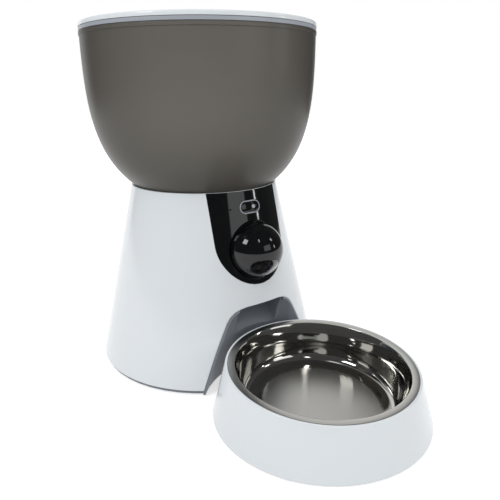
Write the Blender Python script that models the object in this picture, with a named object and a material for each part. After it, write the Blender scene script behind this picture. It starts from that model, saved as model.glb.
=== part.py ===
"""Pet feeder with camera: a cone tower under a round food hopper, and a steel bowl on a stand in front.

Lengths are in metres and +Z is up. The front faces -Y. The origin is on the table, at the centre of the
whole feeder, so the tower stands behind it and the bowl in front of it.
"""

from math import atan, cos, pi, radians, sin, sqrt, tan

import bmesh
import bpy

# Clearances
SEAT_GAP = 0.0003
RUNNING_GAP = 0.0008
CUT_OVERRUN = 0.002

# Smoothness of round pieces
LARGE_SEGMENTS = 48
MIDDLE_SEGMENTS = 24
SMALL_SEGMENTS = 12
SCREW_SEGMENTS = 10
CURVE_STEPS = 7
CORNER_STEPS = 3
SMOOTH_ANGLE = 35

# Tower shell
SHELL_FLARE = 0.0378
SHELL_FOOT_Z = 0.0045
SHELL_WALL = 0.0026
TOP_RIM_WALL = 0.0022
HOPPER_SEAT_DEPTH = 0.005
DECK_THICKNESS = 0.0026

# Base plate, its screws and rubber feet
PLATE_OVERHANG = 0.0007
PLATE_THICKNESS = 0.0028
PLATE_RING_HEIGHT = 0.0033
PLATE_RING_WALL = 0.0024
TOWER_FOOT_RADIUS = 0.0075
TOWER_FOOT_INSET = 0.019
TOWER_FOOT_ANGLES = (22, 132, 228, 338)
BOSS_RADIUS = 0.005
BOSS_INSET = 0.0152
BOSS_HEIGHT = 0.0295
BOSS_RIB_THICKNESS = 0.0024
BOSS_RIB_BITE = 0.0011
BOSS_ANGLES = (45, 108, 252, 315)
BASE_SCREW_RADIUS = 0.0016
BASE_SCREW_LENGTH = 0.0115
BASE_SCREW_HEAD_RADIUS = 0.0037
BASE_SCREW_HEAD_HEIGHT = 0.0015

# Doorway that the bowl stand pushes into, and its grey liner
LINER_WALL = 0.002
DOORWAY_DEPTH = 0.0456
DOORWAY_SIDE_GAP = 0.0009
DOORWAY_HEADROOM = 0.0273
DOORWAY_LINTEL = 0.0172
DOORWAY_TAPER_SHARE = 0.28
DOORWAY_FILLET = 0.014

# Dispenser neck, well and portion floor
NECK_RADIUS = 0.0496
NECK_WALL = 0.0024
WELL_DEPTH = 0.0277
WELL_WALL = 0.0022
WELL_FLANGE = 0.008
WELL_SCREW_ANGLES = (60, 300)
WELL_SCREW_RADIUS = 0.0011
WELL_SCREW_LENGTH = 0.0044
WELL_SCREW_HEAD_RADIUS = 0.0022
WELL_SCREW_HEAD_HEIGHT = 0.0013
METER_FLOOR_THICKNESS = 0.0022
OUTLET_HALF_WIDTH = 0.0235
OUTLET_INSET = 0.0017
OUTLET_BACK = 0.0215
OUTLET_MARGIN = 0.0015

# Food rotor, stirrer and portion baffle
ROTOR_HEIGHT = 0.021
ROTOR_HUB_RADIUS = 0.009
ROTOR_TIP_GAP = 0.0012
ROTOR_VANES = 6
VANE_THICKNESS = 0.0022
STIRRER_POST_RADIUS = 0.0055
STIRRER_POST_HEIGHT = 0.0195
STIRRER_ARM_REACH = 0.030
STIRRER_ARM_RADIUS = 0.0022
BAFFLE_THICKNESS = 0.0016
BAFFLE_HALF_ANGLE = 100
BAFFLE_LIFT = 0.0012

# Gear train and motor
GEAR_MODULE = 0.001
WHEEL_TEETH = 30
PINION_TEETH = 10
TOOTH_ADDENDUM_SHARE = 0.8
TOOTH_DEDENDUM_SHARE = 1.15
TOOTH_TIP_WIDTH_SHARE = 0.18
TOOTH_MIDDLE_WIDTH_SHARE = 0.38
TOOTH_ROOT_WIDTH_SHARE = 0.60
UPPER_GEAR_THICKNESS = 0.007
LOWER_GEAR_THICKNESS = 0.005
GEAR_LAYER_GAP = 0.003
GEAR_HEADROOM = 0.005
GEAR_FLOOR_GAP = 0.0012
SHAFT_HEX_RADIUS = 0.0035
SHAFT_SOCKET_DEPTH = 0.013
IDLER_PIN_RADIUS = 0.0016
CASE_WALL = 0.0018
CASE_FLOOR = 0.002
CASE_POST_RADIUS = 0.0034
CASE_SCREW_RADIUS = 0.0012
CASE_SCREW_HEAD_RADIUS = 0.0026
CASE_SCREW_HEAD_HEIGHT = 0.0016
MOTOR_RADIUS = 0.0135
MOTOR_LENGTH = 0.036
MOTOR_SHAFT_RADIUS = 0.001
MOTOR_SHAFT_DEPTH = 0.004
MOTOR_SCREW_SPREAD = 0.0088
MOTOR_SCREW_RADIUS = 0.0011
MOTOR_SCREW_DEPTH = 0.003
MOTOR_SCREW_HEAD_RADIUS = 0.0018
MOTOR_SCREW_HEAD_HEIGHT = 0.0008

# Chute from the well to the doorway
CHUTE_WALL = 0.002
CHUTE_CORNER = 0.0075
CHUTE_FRONT_SHARES = ((0.0, 0.826), (0.033, 0.762), (0.377, 0.690), (1.0, 0.564))
CHUTE_BACK_SHARES = ((0.0, 0.876), (0.143, 0.699), (0.462, 0.466), (0.911, 0.185))

# Front panel and what shows in it
PANEL_HALF_WIDTH = 0.0365
PANEL_MARGIN = 0.0041
PANEL_THICKNESS = 0.0014
BUTTON_DROP = 0.014
BUTTON_RING_LENGTH = 0.0216
BUTTON_RING_HEIGHT = 0.0111
BUTTON_RING_WIDTH = 0.0008
BUTTON_TRAVEL = 0.0008
BUTTON_DEPTH = 0.0040
STATUS_LIGHT_RADIUS = 0.0017
STATUS_LIGHT_SIDE = 0.0035
STATUS_LIGHT_DEPTH = 0.0016
SWITCH_SIDE = 0.006
SWITCH_HEIGHT = 0.0028
BUTTON_BOARD_LENGTH = 0.050
BUTTON_BOARD_HEIGHT = 0.012
BUTTON_BOARD_THICKNESS = 0.0014
BOARD_POST_RADIUS = 0.0022
BOARD_POST_SPREAD = 0.0145
MIC_SIDE = 0.0196
MIC_HOLE_RADIUS = 0.0010
MIC_RADIUS = 0.0022

# Camera ball, its socket and its tilt axis
BUTTON_BOARD_GAP = 0.0003
BALL_SET_BACK = 0.0026
BALL_RADIUS = 0.025
BALL_WALL = 0.0022
BALL_SLOT_HALF_WIDTH = 0.0052
CAMERA_REST_TILT = 30
CAMERA_TILT_UP = 35
CAMERA_TILT_DOWN = 15
SOCKET_WALL = 0.0024
SOCKET_FLANGE_WIDTH = 0.006
SOCKET_FLANGE_DEPTH = 0.0085
SOCKET_BACK_ANGLES = (150, 108)
ARM_RADIUS = 0.0035
ARM_EYE_RADIUS = 0.0042
TILT_PIN_RADIUS = 0.0015
LENS_WINDOW_RADIUS = 0.0092
LENS_WINDOW_THICKNESS = 0.0015
LENS_RADIUS = 0.006
LENS_LENGTH = 0.0098
CAMERA_BOARD_SIDE = 0.016
CAMERA_BOARD_THICKNESS = 0.0012

# Electronics on the base plate
BOARD_POST_HEIGHT = 0.0093
MAIN_BOARD_LENGTH = 0.072
MAIN_BOARD_WIDTH = 0.052
MAIN_BOARD_THICKNESS = 0.0016
MAIN_BOARD_SETBACK = 0.0322
MAIN_POST_RADIUS = 0.003
MAIN_POST_INSET = 0.004
BOARD_SCREW_RADIUS = 0.0012
BOARD_SCREW_LENGTH = 0.0065
BOARD_SCREW_HEAD_RADIUS = 0.0023
BOARD_SCREW_HEAD_HEIGHT = 0.0013
RADIO_LENGTH = 0.018
RADIO_WIDTH = 0.014
RADIO_HEIGHT = 0.0028
SPEAKER_RADIUS = 0.018
SPEAKER_HEIGHT = 0.009
SPEAKER_INSET = 0.0442
SPEAKER_BACK = 0.010
SPEAKER_SLOT_WIDTH = 0.0024
SPEAKER_SLOTS = 5
SPEAKER_GRILLE_SHARE = 0.7
INLET_Z = 0.0125
INLET_NOSE_RADIUS = 0.0046
INLET_BORE_RADIUS = 0.0033
INLET_WIDTH = 0.011
INLET_HEIGHT = 0.0145
INLET_LENGTH = 0.013
INLET_RECESS = 0.0012

# Hopper
HOPPER_HEIGHT = 0.1306
HOPPER_RADIUS = 0.1035
HOPPER_WALL = 0.0025
HOPPER_LIP_HEIGHT = 0.0031
HOPPER_LIP_STEP = 0.0005
HOPPER_FOOT_WALL = 0.0032
NECK_INSET = 0.0163
HOPPER_FLOOR = 0.0022
HOPPER_SHOULDER_SHARE = 0.44
HOPPER_WAIST_SHARE = 0.355
HOPPER_FOOT_ANGLE = 40
LEDGE_DROP = 0.0097
LEDGE_HEIGHT = 0.0014
LEDGE_REACH = 0.0022
LEDGE_HALF_ANGLE = 11
LEDGE_ANGLES = (180, 0)

# Lid
LID_PLATE_THICKNESS = 0.0037
LID_PLATE_FLOOR = 0.0028
LID_EDGE_ROUND = 0.0018
LID_CROWN = 0.001
LID_BAND_HEIGHT = 0.0029
LID_BAND_INSET = 0.0003
LID_SKIRT_WALL = 0.0022
LID_SKIRT_DEPTH = 0.0059
LID_SKIRT_GAP = 0.0016
LID_SPIGOT_WALL = 0.002
SEAL_WIDTH = 0.0026
SEAL_HEIGHT = 0.0024
SEAL_DROP = 0.0012
TAB_HALF_ANGLE = 7.5
TAB_SHIFT_ANGLE = 3.5
DESICCANT_RADIUS = 0.032
DESICCANT_HEIGHT = 0.018
DESICCANT_WALL = 0.0016
DESICCANT_HOLES = 8
DESICCANT_HOLE_RADIUS = 0.0024
DESICCANT_HOLE_CIRCLE = 0.018

# Bowl stand and steel bowl
STAND_SET_FORWARD = 0.013
STAND_FOOT_RADIUS = 0.0885
STAND_RIM_RADIUS = 0.0775
STAND_HEIGHT = 0.0432
STAND_WALL = 0.0026
STAND_LIP_WIDTH = 0.0018
STAND_LIP_ROUND = 0.0012
STAND_SEAT_DEPTH = 0.0012
STAND_SEAT_WIDTH = 0.0045
STAND_FLANGE_WIDTH = 0.012
STAND_FLANGE_THICKNESS = 0.0022
STAND_PAD_RADIUS = 0.0045
STAND_PAD_ANGLES = (0, 120, 240)
PAD_THICKNESS = 0.0009
BOWL_TILT = 3.3
BOWL_SHEET = 0.0009
BOWL_DEPTH = 0.033
BOWL_FLANGE_WIDTH = 0.0055
BOWL_FLOOR_RADIUS = 0.050
BOWL_WALL_LEAN = 0.0035

# Values worked out from those above
HOPPER_FOOT_RADIUS = NECK_RADIUS + NECK_INSET
SHELL_TOP_RADIUS = HOPPER_FOOT_RADIUS + SEAT_GAP + TOP_RIM_WALL
SHELL_FOOT_RADIUS = SHELL_TOP_RADIUS + SHELL_FLARE
DOORWAY_FOOT_RADIUS = STAND_FOOT_RADIUS + DOORWAY_SIDE_GAP
DOORWAY_DISTANCE = SHELL_FOOT_RADIUS - DOORWAY_DEPTH + DOORWAY_FOOT_RADIUS
BOWL_DISTANCE = DOORWAY_DISTANCE + STAND_SET_FORWARD
DOORWAY_HEIGHT = STAND_HEIGHT + DOORWAY_HEADROOM
SOCKET_FLANGE_RADIUS = BALL_RADIUS + SOCKET_FLANGE_WIDTH
CAMERA_Z = DOORWAY_HEIGHT + DOORWAY_LINTEL + SOCKET_FLANGE_RADIUS
BUTTON_Z = CAMERA_Z + SOCKET_FLANGE_RADIUS + BUTTON_BOARD_GAP + BUTTON_BOARD_HEIGHT / 2
PANEL_LOW = CAMERA_Z - BALL_RADIUS - PANEL_MARGIN
TOWER_HEIGHT = BUTTON_Z + BUTTON_DROP
HOPPER_TOP_Z = TOWER_HEIGHT + HOPPER_HEIGHT
FRONT_TILT = atan(SHELL_FLARE / (TOWER_HEIGHT - SHELL_FOOT_Z))
CAMERA_REACH = SHELL_FOOT_RADIUS - tan(FRONT_TILT) * (CAMERA_Z - SHELL_FOOT_Z) - BALL_SET_BACK
MAIN_BOARD_BACK = SHELL_FOOT_RADIUS - MAIN_BOARD_SETBACK
SPEAKER_SIDE = SHELL_FOOT_RADIUS - SPEAKER_INSET
PLATE_TOP = SHELL_FOOT_Z - SEAT_GAP
PLATE_LOW = PLATE_TOP - PLATE_THICKNESS
DECK_TOP = TOWER_HEIGHT - HOPPER_SEAT_DEPTH
DECK_LOW = DECK_TOP - DECK_THICKNESS
NECK_INNER = NECK_RADIUS - NECK_WALL
OUTLET_FRONT = NECK_INNER - OUTLET_INSET
WELL_INNER = NECK_RADIUS + 2 * SEAT_GAP
WELL_RADIUS = WELL_INNER + WELL_WALL
WELL_TOP = DECK_LOW - SEAT_GAP
WELL_FLOOR = WELL_TOP - WELL_DEPTH
WELL_LOW = WELL_FLOOR - WELL_WALL
METER_FLOOR_LOW = WELL_FLOOR + SEAT_GAP
METER_FLOOR_TOP = METER_FLOOR_LOW + METER_FLOOR_THICKNESS
NECK_LOW = METER_FLOOR_TOP + SEAT_GAP
ROTOR_LOW = METER_FLOOR_TOP + 2 * SEAT_GAP
ROTOR_TOP = ROTOR_LOW + ROTOR_HEIGHT
ROTOR_RADIUS = NECK_INNER - ROTOR_TIP_GAP
BAFFLE_LOW = ROTOR_TOP + BAFFLE_LIFT
CASE_TOP = WELL_LOW - SEAT_GAP
UPPER_GEAR_LOW = CASE_TOP - GEAR_HEADROOM - UPPER_GEAR_THICKNESS
LOWER_GEAR_LOW = UPPER_GEAR_LOW - GEAR_LAYER_GAP - LOWER_GEAR_THICKNESS
CASE_FLOOR_TOP = LOWER_GEAR_LOW - GEAR_FLOOR_GAP
CASE_LOW = CASE_FLOOR_TOP - CASE_FLOOR
MOTOR_TOP = CASE_LOW - SEAT_GAP
GEAR_DISTANCE = GEAR_MODULE * (WHEEL_TEETH + PINION_TEETH) / 2
MOTOR_BACK = 2 * GEAR_DISTANCE
WHEEL_REACH = GEAR_MODULE * (WHEEL_TEETH / 2 + TOOTH_ADDENDUM_SHARE)
CASE_HALF_WIDTH = WHEEL_REACH + GEAR_FLOOR_GAP
CASE_BACK = MOTOR_BACK + MOTOR_SCREW_SPREAD
LEDGE_TOP = HOPPER_TOP_Z - LEDGE_DROP
LID_BAND_LOW = HOPPER_TOP_Z + SEAT_GAP
LID_PLATE_LOW = LID_BAND_LOW + LID_BAND_HEIGHT + SEAT_GAP
LID_BAND_RADIUS = HOPPER_RADIUS - LID_BAND_INSET
SKIRT_RADIUS = HOPPER_RADIUS - HOPPER_LIP_STEP - HOPPER_WALL - LID_SKIRT_GAP
STAND_LOW = PAD_THICKNESS + SEAT_GAP
STAND_SEAT_Z = STAND_HEIGHT - STAND_SEAT_DEPTH
BOWL_RADIUS = STAND_RIM_RADIUS - STAND_LIP_WIDTH - SEAT_GAP
TOWER_Y = (BOWL_DISTANCE + STAND_FOOT_RADIUS - SHELL_FOOT_RADIUS) / 2


def clear_scene():
    for old in list(bpy.data.objects):
        bpy.data.objects.remove(old, do_unlink=True)


def make_material(name, colour, roughness, metallic=0.0, alpha=1.0):
    material = bpy.data.materials.new(name)
    material.use_nodes = True
    surface = material.node_tree.nodes["Principled BSDF"]
    surface.inputs["Base Color"].default_value = (*colour, 1)
    surface.inputs["Roughness"].default_value = roughness
    surface.inputs["Metallic"].default_value = metallic
    surface.inputs["Alpha"].default_value = alpha
    material.diffuse_color = (*colour, alpha)
    return material


def make_empty(name, at, parent=None):
    empty = bpy.data.objects.new(name, None)
    empty.location = at
    empty.parent = parent
    bpy.context.collection.objects.link(empty)
    return empty


def make_object(name, shape, material=None, parent=None, at=(0, 0, 0), turn=(0, 0, 0)):
    """An object from (points, faces), with its faces turned outward and its round sides smooth."""
    points, faces = shape
    mesh = bpy.data.meshes.new(name)
    mesh.from_pydata(points, [], faces)
    work = bmesh.new()
    work.from_mesh(mesh)
    bmesh.ops.recalc_face_normals(work, faces=work.faces)
    work.to_mesh(mesh)
    work.free()
    mesh.shade_smooth()
    mesh.set_sharp_from_angle(angle=radians(SMOOTH_ANGLE))
    if material:
        mesh.materials.append(material)
    obj = bpy.data.objects.new(name, mesh)
    obj.location = at
    obj.rotation_euler = turn
    obj.parent = parent
    bpy.context.collection.objects.link(obj)
    return obj


def make_helper(name, shape, parent=None, at=(0, 0, 0), turn=(0, 0, 0)):
    """A shape that only cuts, trims or joins another one."""
    helper = make_object(name + "_helper", shape, None, parent, at, turn)
    helper.hide_render = True
    helper.display_type = "WIRE"
    return helper


def combine(target, other, operation):
    modifier = target.modifiers.new(operation.lower(), "BOOLEAN")
    modifier.operation = operation
    modifier.object = other
    modifier.solver = "EXACT"
    return target


def cut(target, other):
    return combine(target, other, "DIFFERENCE")


def join(target, other):
    return combine(target, other, "UNION")


def trim(target, other):
    return combine(target, other, "INTERSECT")


def turned(outline, segments=LARGE_SEGMENTS):
    """A closed outline of (radius, height) pairs turned once round Z."""
    points, faces, rings = [], [], []
    for radius, height in outline:
        first = len(points)
        if radius == 0:
            points.append((0, 0, height))
            rings.append([first])
            continue
        for step in range(segments):
            angle = 2 * pi * (step + 0.5) / segments
            points.append((radius * cos(angle), radius * sin(angle), height))
        rings.append(list(range(first, first + segments)))
    for here, there in zip(rings, rings[1:] + rings[:1]):
        for step in range(segments):
            after = (step + 1) % segments
            corners = [here[step % len(here)], here[after % len(here)]]
            corners += [there[after % len(there)], there[step % len(there)]]
            face = tuple(dict.fromkeys(corners))
            if len(face) > 2:
                faces.append(face)
    return points, faces


def sector(outline, start, end, steps):
    """A closed outline of (radius, height) pairs turned round Z from one angle to another, in degrees."""
    loops = []
    for step in range(steps + 1):
        angle = radians(start + (end - start) * step / steps)
        loops.append([(radius * cos(angle), radius * sin(angle), height) for radius, height in outline])
    return lofted(loops)


def lofted(loops):
    """A closed body through loops of equal point counts, capped at both ends."""
    points = [point for loop in loops for point in loop]
    count = len(loops[0])
    faces = [tuple(range(count)), tuple(range(len(points) - count, len(points)))]
    for row in range(len(loops) - 1):
        for step in range(count):
            after = (step + 1) % count
            low, high = row * count, (row + 1) * count
            faces.append((low + step, low + after, high + after, high + step))
    return points, faces


def prism(outline, low, high):
    """An outline of (x, y) pairs raised from one height to another."""
    return lofted([[(x, y, height) for x, y in outline] for height in (low, high)])


def box(x_low, x_high, y_low, y_high, z_low, z_high):
    return prism([(x_low, y_low), (x_high, y_low), (x_high, y_high), (x_low, y_high)], z_low, z_high)


def disc(radius, low, high, segments=SMALL_SEGMENTS, centre=(0, 0)):
    first = 180 / segments
    return prism(arc(centre, radius, first, first + 360, segments)[:-1], low, high)


def arc(centre, radius, start, end, steps):
    """Points of a circle from one angle to another, in degrees, both ends included."""
    angles = [radians(start + (end - start) * step / steps) for step in range(steps + 1)]
    return [(centre[0] + radius * cos(angle), centre[1] + radius * sin(angle)) for angle in angles]


def slot_outline(length, height, steps=2 * CORNER_STEPS):
    """A bar with round ends, centred on the origin."""
    reach = (length - height) / 2
    return arc((reach, 0), height / 2, -90, 90, steps) + arc((-reach, 0), height / 2, 90, 270, steps)


def curve_points(start, start_handle, end_handle, end, steps=CURVE_STEPS):
    """Points of a cubic curve between two ends."""
    points = []
    for step in range(steps + 1):
        t = step / steps
        shares = ((1 - t) ** 3, 3 * t * (1 - t) ** 2, 3 * t * t * (1 - t), t**3)
        knots = (start, start_handle, end_handle, end)
        points.append(tuple(sum(s * knot[axis] for s, knot in zip(shares, knots)) for axis in (0, 1)))
    return points


def shifted(path, distance):
    """The path moved sideways, to the left of the way it runs."""
    moved = []
    for index, (x, y) in enumerate(path):
        before, after = path[max(index - 1, 0)], path[min(index + 1, len(path) - 1)]
        run, rise = after[0] - before[0], after[1] - before[1]
        length = sqrt(run * run + rise * rise)
        moved.append((x - distance * rise / length, y + distance * run / length))
    return moved


def round_place(radius, angle_from_back):
    """The place on a circle about the tower axis, by the angle from the back, in degrees."""
    angle = radians(angle_from_back)
    return radius * sin(angle), radius * cos(angle)


def cone_radius(height, inset=0.0):
    slope = (SHELL_TOP_RADIUS - SHELL_FOOT_RADIUS) / (TOWER_HEIGHT - SHELL_FOOT_Z)
    return SHELL_FOOT_RADIUS + slope * (height - SHELL_FOOT_Z) - inset


def cone_solid(inset, low, high):
    return turned([(0, low), (cone_radius(low, inset), low), (cone_radius(high, inset), high), (0, high)])


def cone_layer(outer_inset, inner_inset, low, high):
    outer = [(cone_radius(low, outer_inset), low), (cone_radius(high, outer_inset), high)]
    inner = [(cone_radius(high, inner_inset), high), (cone_radius(low, inner_inset), low)]
    return turned(outer + inner)


def screw_shape(shank_radius, shank_length, head_radius, head_height):
    """A screw that points up: its head is under the origin and its shank above."""
    outline = [(0, -head_height), (head_radius, -head_height), (head_radius, 0), (shank_radius, 0)]
    outline += [(shank_radius, shank_length), (0, shank_length)]
    return turned(outline, SCREW_SEGMENTS)


def gear_outline(teeth, first_angle=0.0):
    """Teeth with straight flanks, thin enough to leave backlash."""
    pitch_radius = GEAR_MODULE * teeth / 2
    root = pitch_radius - GEAR_MODULE * TOOTH_DEDENDUM_SHARE
    tip = pitch_radius + GEAR_MODULE * TOOTH_ADDENDUM_SHARE
    tooth = 360 / teeth
    rise = [(root, TOOTH_ROOT_WIDTH_SHARE), (pitch_radius, TOOTH_MIDDLE_WIDTH_SHARE)]
    rise += [(tip, TOOTH_TIP_WIDTH_SHARE)]
    flanks = [(radius, -share) for radius, share in rise] + rise[::-1]
    outline = []
    for number in range(teeth):
        for radius, width_share in flanks:
            angle = radians(first_angle + tooth * (number + width_share / 2))
            outline.append((radius * cos(angle), radius * sin(angle)))
    return outline


# The tower


def doorway_outline(offset, low):
    """Half section of the doorway about the bowl axis: a leaning wall, a fillet and a flat ceiling."""
    top = DOORWAY_HEIGHT + offset
    fillet = DOORWAY_FILLET + offset
    lean = atan(DOORWAY_TAPER_SHARE)
    wall = DOORWAY_FOOT_RADIUS + offset / cos(lean)
    centre_z = top - fillet
    centre_r = wall - DOORWAY_TAPER_SHARE * centre_z - fillet / cos(lean)
    bend = arc((centre_r, centre_z), fillet, 90, lean * 180 / pi, 2 * CORNER_STEPS)
    return bend + [(wall - DOORWAY_TAPER_SHARE * low, low)]


def doorway_solid(offset):
    outline = doorway_outline(offset, -CUT_OVERRUN)
    return turned([(0, outline[0][1])] + outline + [(0, -CUT_OVERRUN)])


def boss_rib():
    """A rib from a screw boss out to the leaning wall, above the ring of the base plate."""
    half, start = BOSS_RIB_THICKNESS / 2, SHELL_FOOT_RADIUS - BOSS_INSET
    low = PLATE_TOP + PLATE_RING_HEIGHT + SEAT_GAP
    high = SHELL_FOOT_Z + BOSS_HEIGHT - BOSS_RIB_THICKNESS
    side = [(start, low)] + [(cone_radius(z, SHELL_WALL - BOSS_RIB_BITE), z) for z in (low, high)]
    side += [(start, high)]
    return lofted([[(x, y, z) for y, z in side] for x in (-half, half)])


def make_tower_shell(axis, door_axis, material):
    inner_top = cone_radius(DECK_LOW, SHELL_WALL)
    outline = [(SHELL_FOOT_RADIUS, SHELL_FOOT_Z), (SHELL_TOP_RADIUS, TOWER_HEIGHT)]
    outline += [(SHELL_TOP_RADIUS - TOP_RIM_WALL, TOWER_HEIGHT), (SHELL_TOP_RADIUS - TOP_RIM_WALL, DECK_TOP)]
    outline += [(WELL_INNER, DECK_TOP), (WELL_INNER, DECK_LOW), (inner_top, DECK_LOW)]
    outline += [(SHELL_FOOT_RADIUS - SHELL_WALL, SHELL_FOOT_Z)]
    shell = make_object("tower_shell", turned(outline), material, axis)
    cut(shell, make_helper("doorway", doorway_solid(LINER_WALL + SEAT_GAP), door_axis))
    cut(shell, make_panel_pocket(axis))
    for angle in BOSS_ANGLES:
        place = round_place(SHELL_FOOT_RADIUS - BOSS_INSET, angle)
        post = disc(BOSS_RADIUS, SHELL_FOOT_Z, SHELL_FOOT_Z + BOSS_HEIGHT, SMALL_SEGMENTS, place)
        join(shell, make_helper("boss", post, axis))
        join(shell, make_helper("boss_rib", boss_rib(), axis, (0, 0, 0), (0, 0, -radians(angle))))
    join_board_posts(shell, axis)
    for angle in BOSS_ANGLES:
        place = round_place(SHELL_FOOT_RADIUS - BOSS_INSET, angle)
        depth = PLATE_LOW + BASE_SCREW_HEAD_HEIGHT + BASE_SCREW_LENGTH + CUT_OVERRUN
        hole = disc(BASE_SCREW_RADIUS + SEAT_GAP, 0, depth, SCREW_SEGMENTS, place)
        cut(shell, make_helper("boss_hole", hole, axis))
    for angle in WELL_SCREW_ANGLES:
        cut(shell, make_helper("deck_hole", well_screw_hole(angle, DECK_LOW - CUT_OVERRUN), axis))
    cut_front_holes(shell, axis, 0)
    nose = disc(INLET_NOSE_RADIUS + SEAT_GAP, 0, SHELL_FOOT_RADIUS)
    cut(shell, make_helper("inlet_hole", nose, axis, (0, 0, INLET_Z), (-pi / 2, 0, 0)))
    return shell


def well_screw_hole(angle, low):
    place = round_place(WELL_RADIUS + WELL_FLANGE / 2, angle)
    high = WELL_TOP - WELL_WALL - SEAT_GAP + WELL_SCREW_LENGTH + SEAT_GAP
    return disc(WELL_SCREW_RADIUS + SEAT_GAP, low, high, SCREW_SEGMENTS, place)


def make_base_plate(axis, door_axis, material):
    edge = SHELL_FOOT_RADIUS - SHELL_WALL + PLATE_OVERHANG
    ring = SHELL_FOOT_RADIUS - SHELL_WALL - 2 * SEAT_GAP - PLATE_RING_HEIGHT * tan(FRONT_TILT)
    ring_top = PLATE_TOP + PLATE_RING_HEIGHT
    outline = [(0, PLATE_LOW), (edge, PLATE_LOW), (edge, PLATE_TOP), (ring, PLATE_TOP), (ring, ring_top)]
    outline += [(ring - PLATE_RING_WALL, ring_top), (ring - PLATE_RING_WALL, PLATE_TOP), (0, PLATE_TOP)]
    plate = make_object("base_plate", turned(outline), material, axis)
    for x, y in main_post_places():
        post = disc(MAIN_POST_RADIUS, PLATE_LOW, PLATE_TOP + BOARD_POST_HEIGHT, SCREW_SEGMENTS, (x, y))
        join(plate, make_helper("board_post", post, axis))
    for x, y in main_post_places():
        hole = disc(BOARD_SCREW_RADIUS + SEAT_GAP, PLATE_TOP, INLET_Z + CUT_OVERRUN, SCREW_SEGMENTS, (x, y))
        cut(plate, make_helper("board_post_hole", hole, axis))
    for angle in BOSS_ANGLES:
        place = round_place(SHELL_FOOT_RADIUS - BOSS_INSET, angle)
        through = disc(BASE_SCREW_RADIUS + SEAT_GAP, 0, SHELL_FOOT_Z, SCREW_SEGMENTS, place)
        head_top = PLATE_LOW + BASE_SCREW_HEAD_HEIGHT + SEAT_GAP
        bore = disc(BASE_SCREW_HEAD_RADIUS + SEAT_GAP, 0, head_top, SMALL_SEGMENTS, place)
        cut(plate, make_helper("plate_hole", through, axis))
        cut(plate, make_helper("plate_bore", bore, axis))
    for number in range(SPEAKER_SLOTS):
        side = (number - (SPEAKER_SLOTS - 1) / 2) * 2 * SPEAKER_SLOT_WIDTH
        reach = sqrt((SPEAKER_GRILLE_SHARE * SPEAKER_RADIUS) ** 2 - side**2)
        slot = prism(slot_outline(2 * reach, SPEAKER_SLOT_WIDTH, CORNER_STEPS), 0, SHELL_FOOT_Z)
        cut(plate, make_helper("speaker_slot", slot, axis, (-SPEAKER_SIDE, SPEAKER_BACK + side, 0)))
    cut(plate, make_helper("plate_doorway", doorway_solid(LINER_WALL + SEAT_GAP), door_axis))
    return plate


def make_base_fittings(axis, rubber, steel):
    for number, angle in enumerate(TOWER_FOOT_ANGLES, 1):
        x, y = round_place(SHELL_FOOT_RADIUS - TOWER_FOOT_INSET, angle)
        pad = disc(TOWER_FOOT_RADIUS, 0, PLATE_LOW - SEAT_GAP, MIDDLE_SEGMENTS)
        make_object(f"tower_foot_{number}", pad, rubber, axis, (x, y, 0))
    shape = screw_shape(BASE_SCREW_RADIUS, BASE_SCREW_LENGTH, BASE_SCREW_HEAD_RADIUS, BASE_SCREW_HEAD_HEIGHT)
    for number, angle in enumerate(BOSS_ANGLES, 1):
        x, y = round_place(SHELL_FOOT_RADIUS - BOSS_INSET, angle)
        place = (x, y, PLATE_LOW + BASE_SCREW_HEAD_HEIGHT)
        make_object(f"base_screw_{number}", shape, steel, axis, place)


def make_doorway_liner(axis, door_axis, material):
    inner = doorway_outline(0, PLATE_LOW)
    outer = doorway_outline(LINER_WALL, PLATE_LOW)
    ring = [(0, outer[0][1])] + outer + inner[::-1] + [(0, inner[0][1])]
    liner = make_object("doorway_liner", turned(ring), material, door_axis)
    high = DOORWAY_HEIGHT + 2 * LINER_WALL
    trim(liner, make_helper("liner_trim", cone_solid(0, PLATE_LOW - CUT_OVERRUN, high), axis))
    cut(liner, make_helper("liner_mouth", chute_solid(CHUTE_WALL + SEAT_GAP, CUT_OVERRUN), axis))
    return liner


# Front panel, button and camera


def surface_place(height, depth=0.0):
    """A place and turn on the front line of the cone: local Z points out of the surface, local Y up it."""
    place = (0, -cone_radius(height) + depth * cos(FRONT_TILT), height - depth * sin(FRONT_TILT))
    return place, (pi / 2 - FRONT_TILT, 0, 0)


def panel_prism(grow):
    """The panel's outline seen from the front, as a solid that passes through the shell."""
    width = PANEL_HALF_WIDTH + grow
    low_arc = arc((0, PANEL_LOW + PANEL_HALF_WIDTH), width, 180, 360, 4 * CORNER_STEPS - 1)
    top = TOWER_HEIGHT + CUT_OVERRUN
    outline = [(-width, top)] + low_arc + [(width, top)]
    points, faces = prism(outline, 0, SHELL_FOOT_RADIUS)
    return [(x, -depth, z) for x, z, depth in points], faces


def make_panel_pocket(axis):
    low = PANEL_LOW - PANEL_HALF_WIDTH
    depth = PANEL_THICKNESS + SEAT_GAP
    layer = cone_layer(-CUT_OVERRUN, depth, low, TOWER_HEIGHT + CUT_OVERRUN)
    pocket = make_helper("panel_pocket", layer, axis)
    return trim(pocket, make_helper("pocket_outline", panel_prism(SEAT_GAP), axis))


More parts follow.
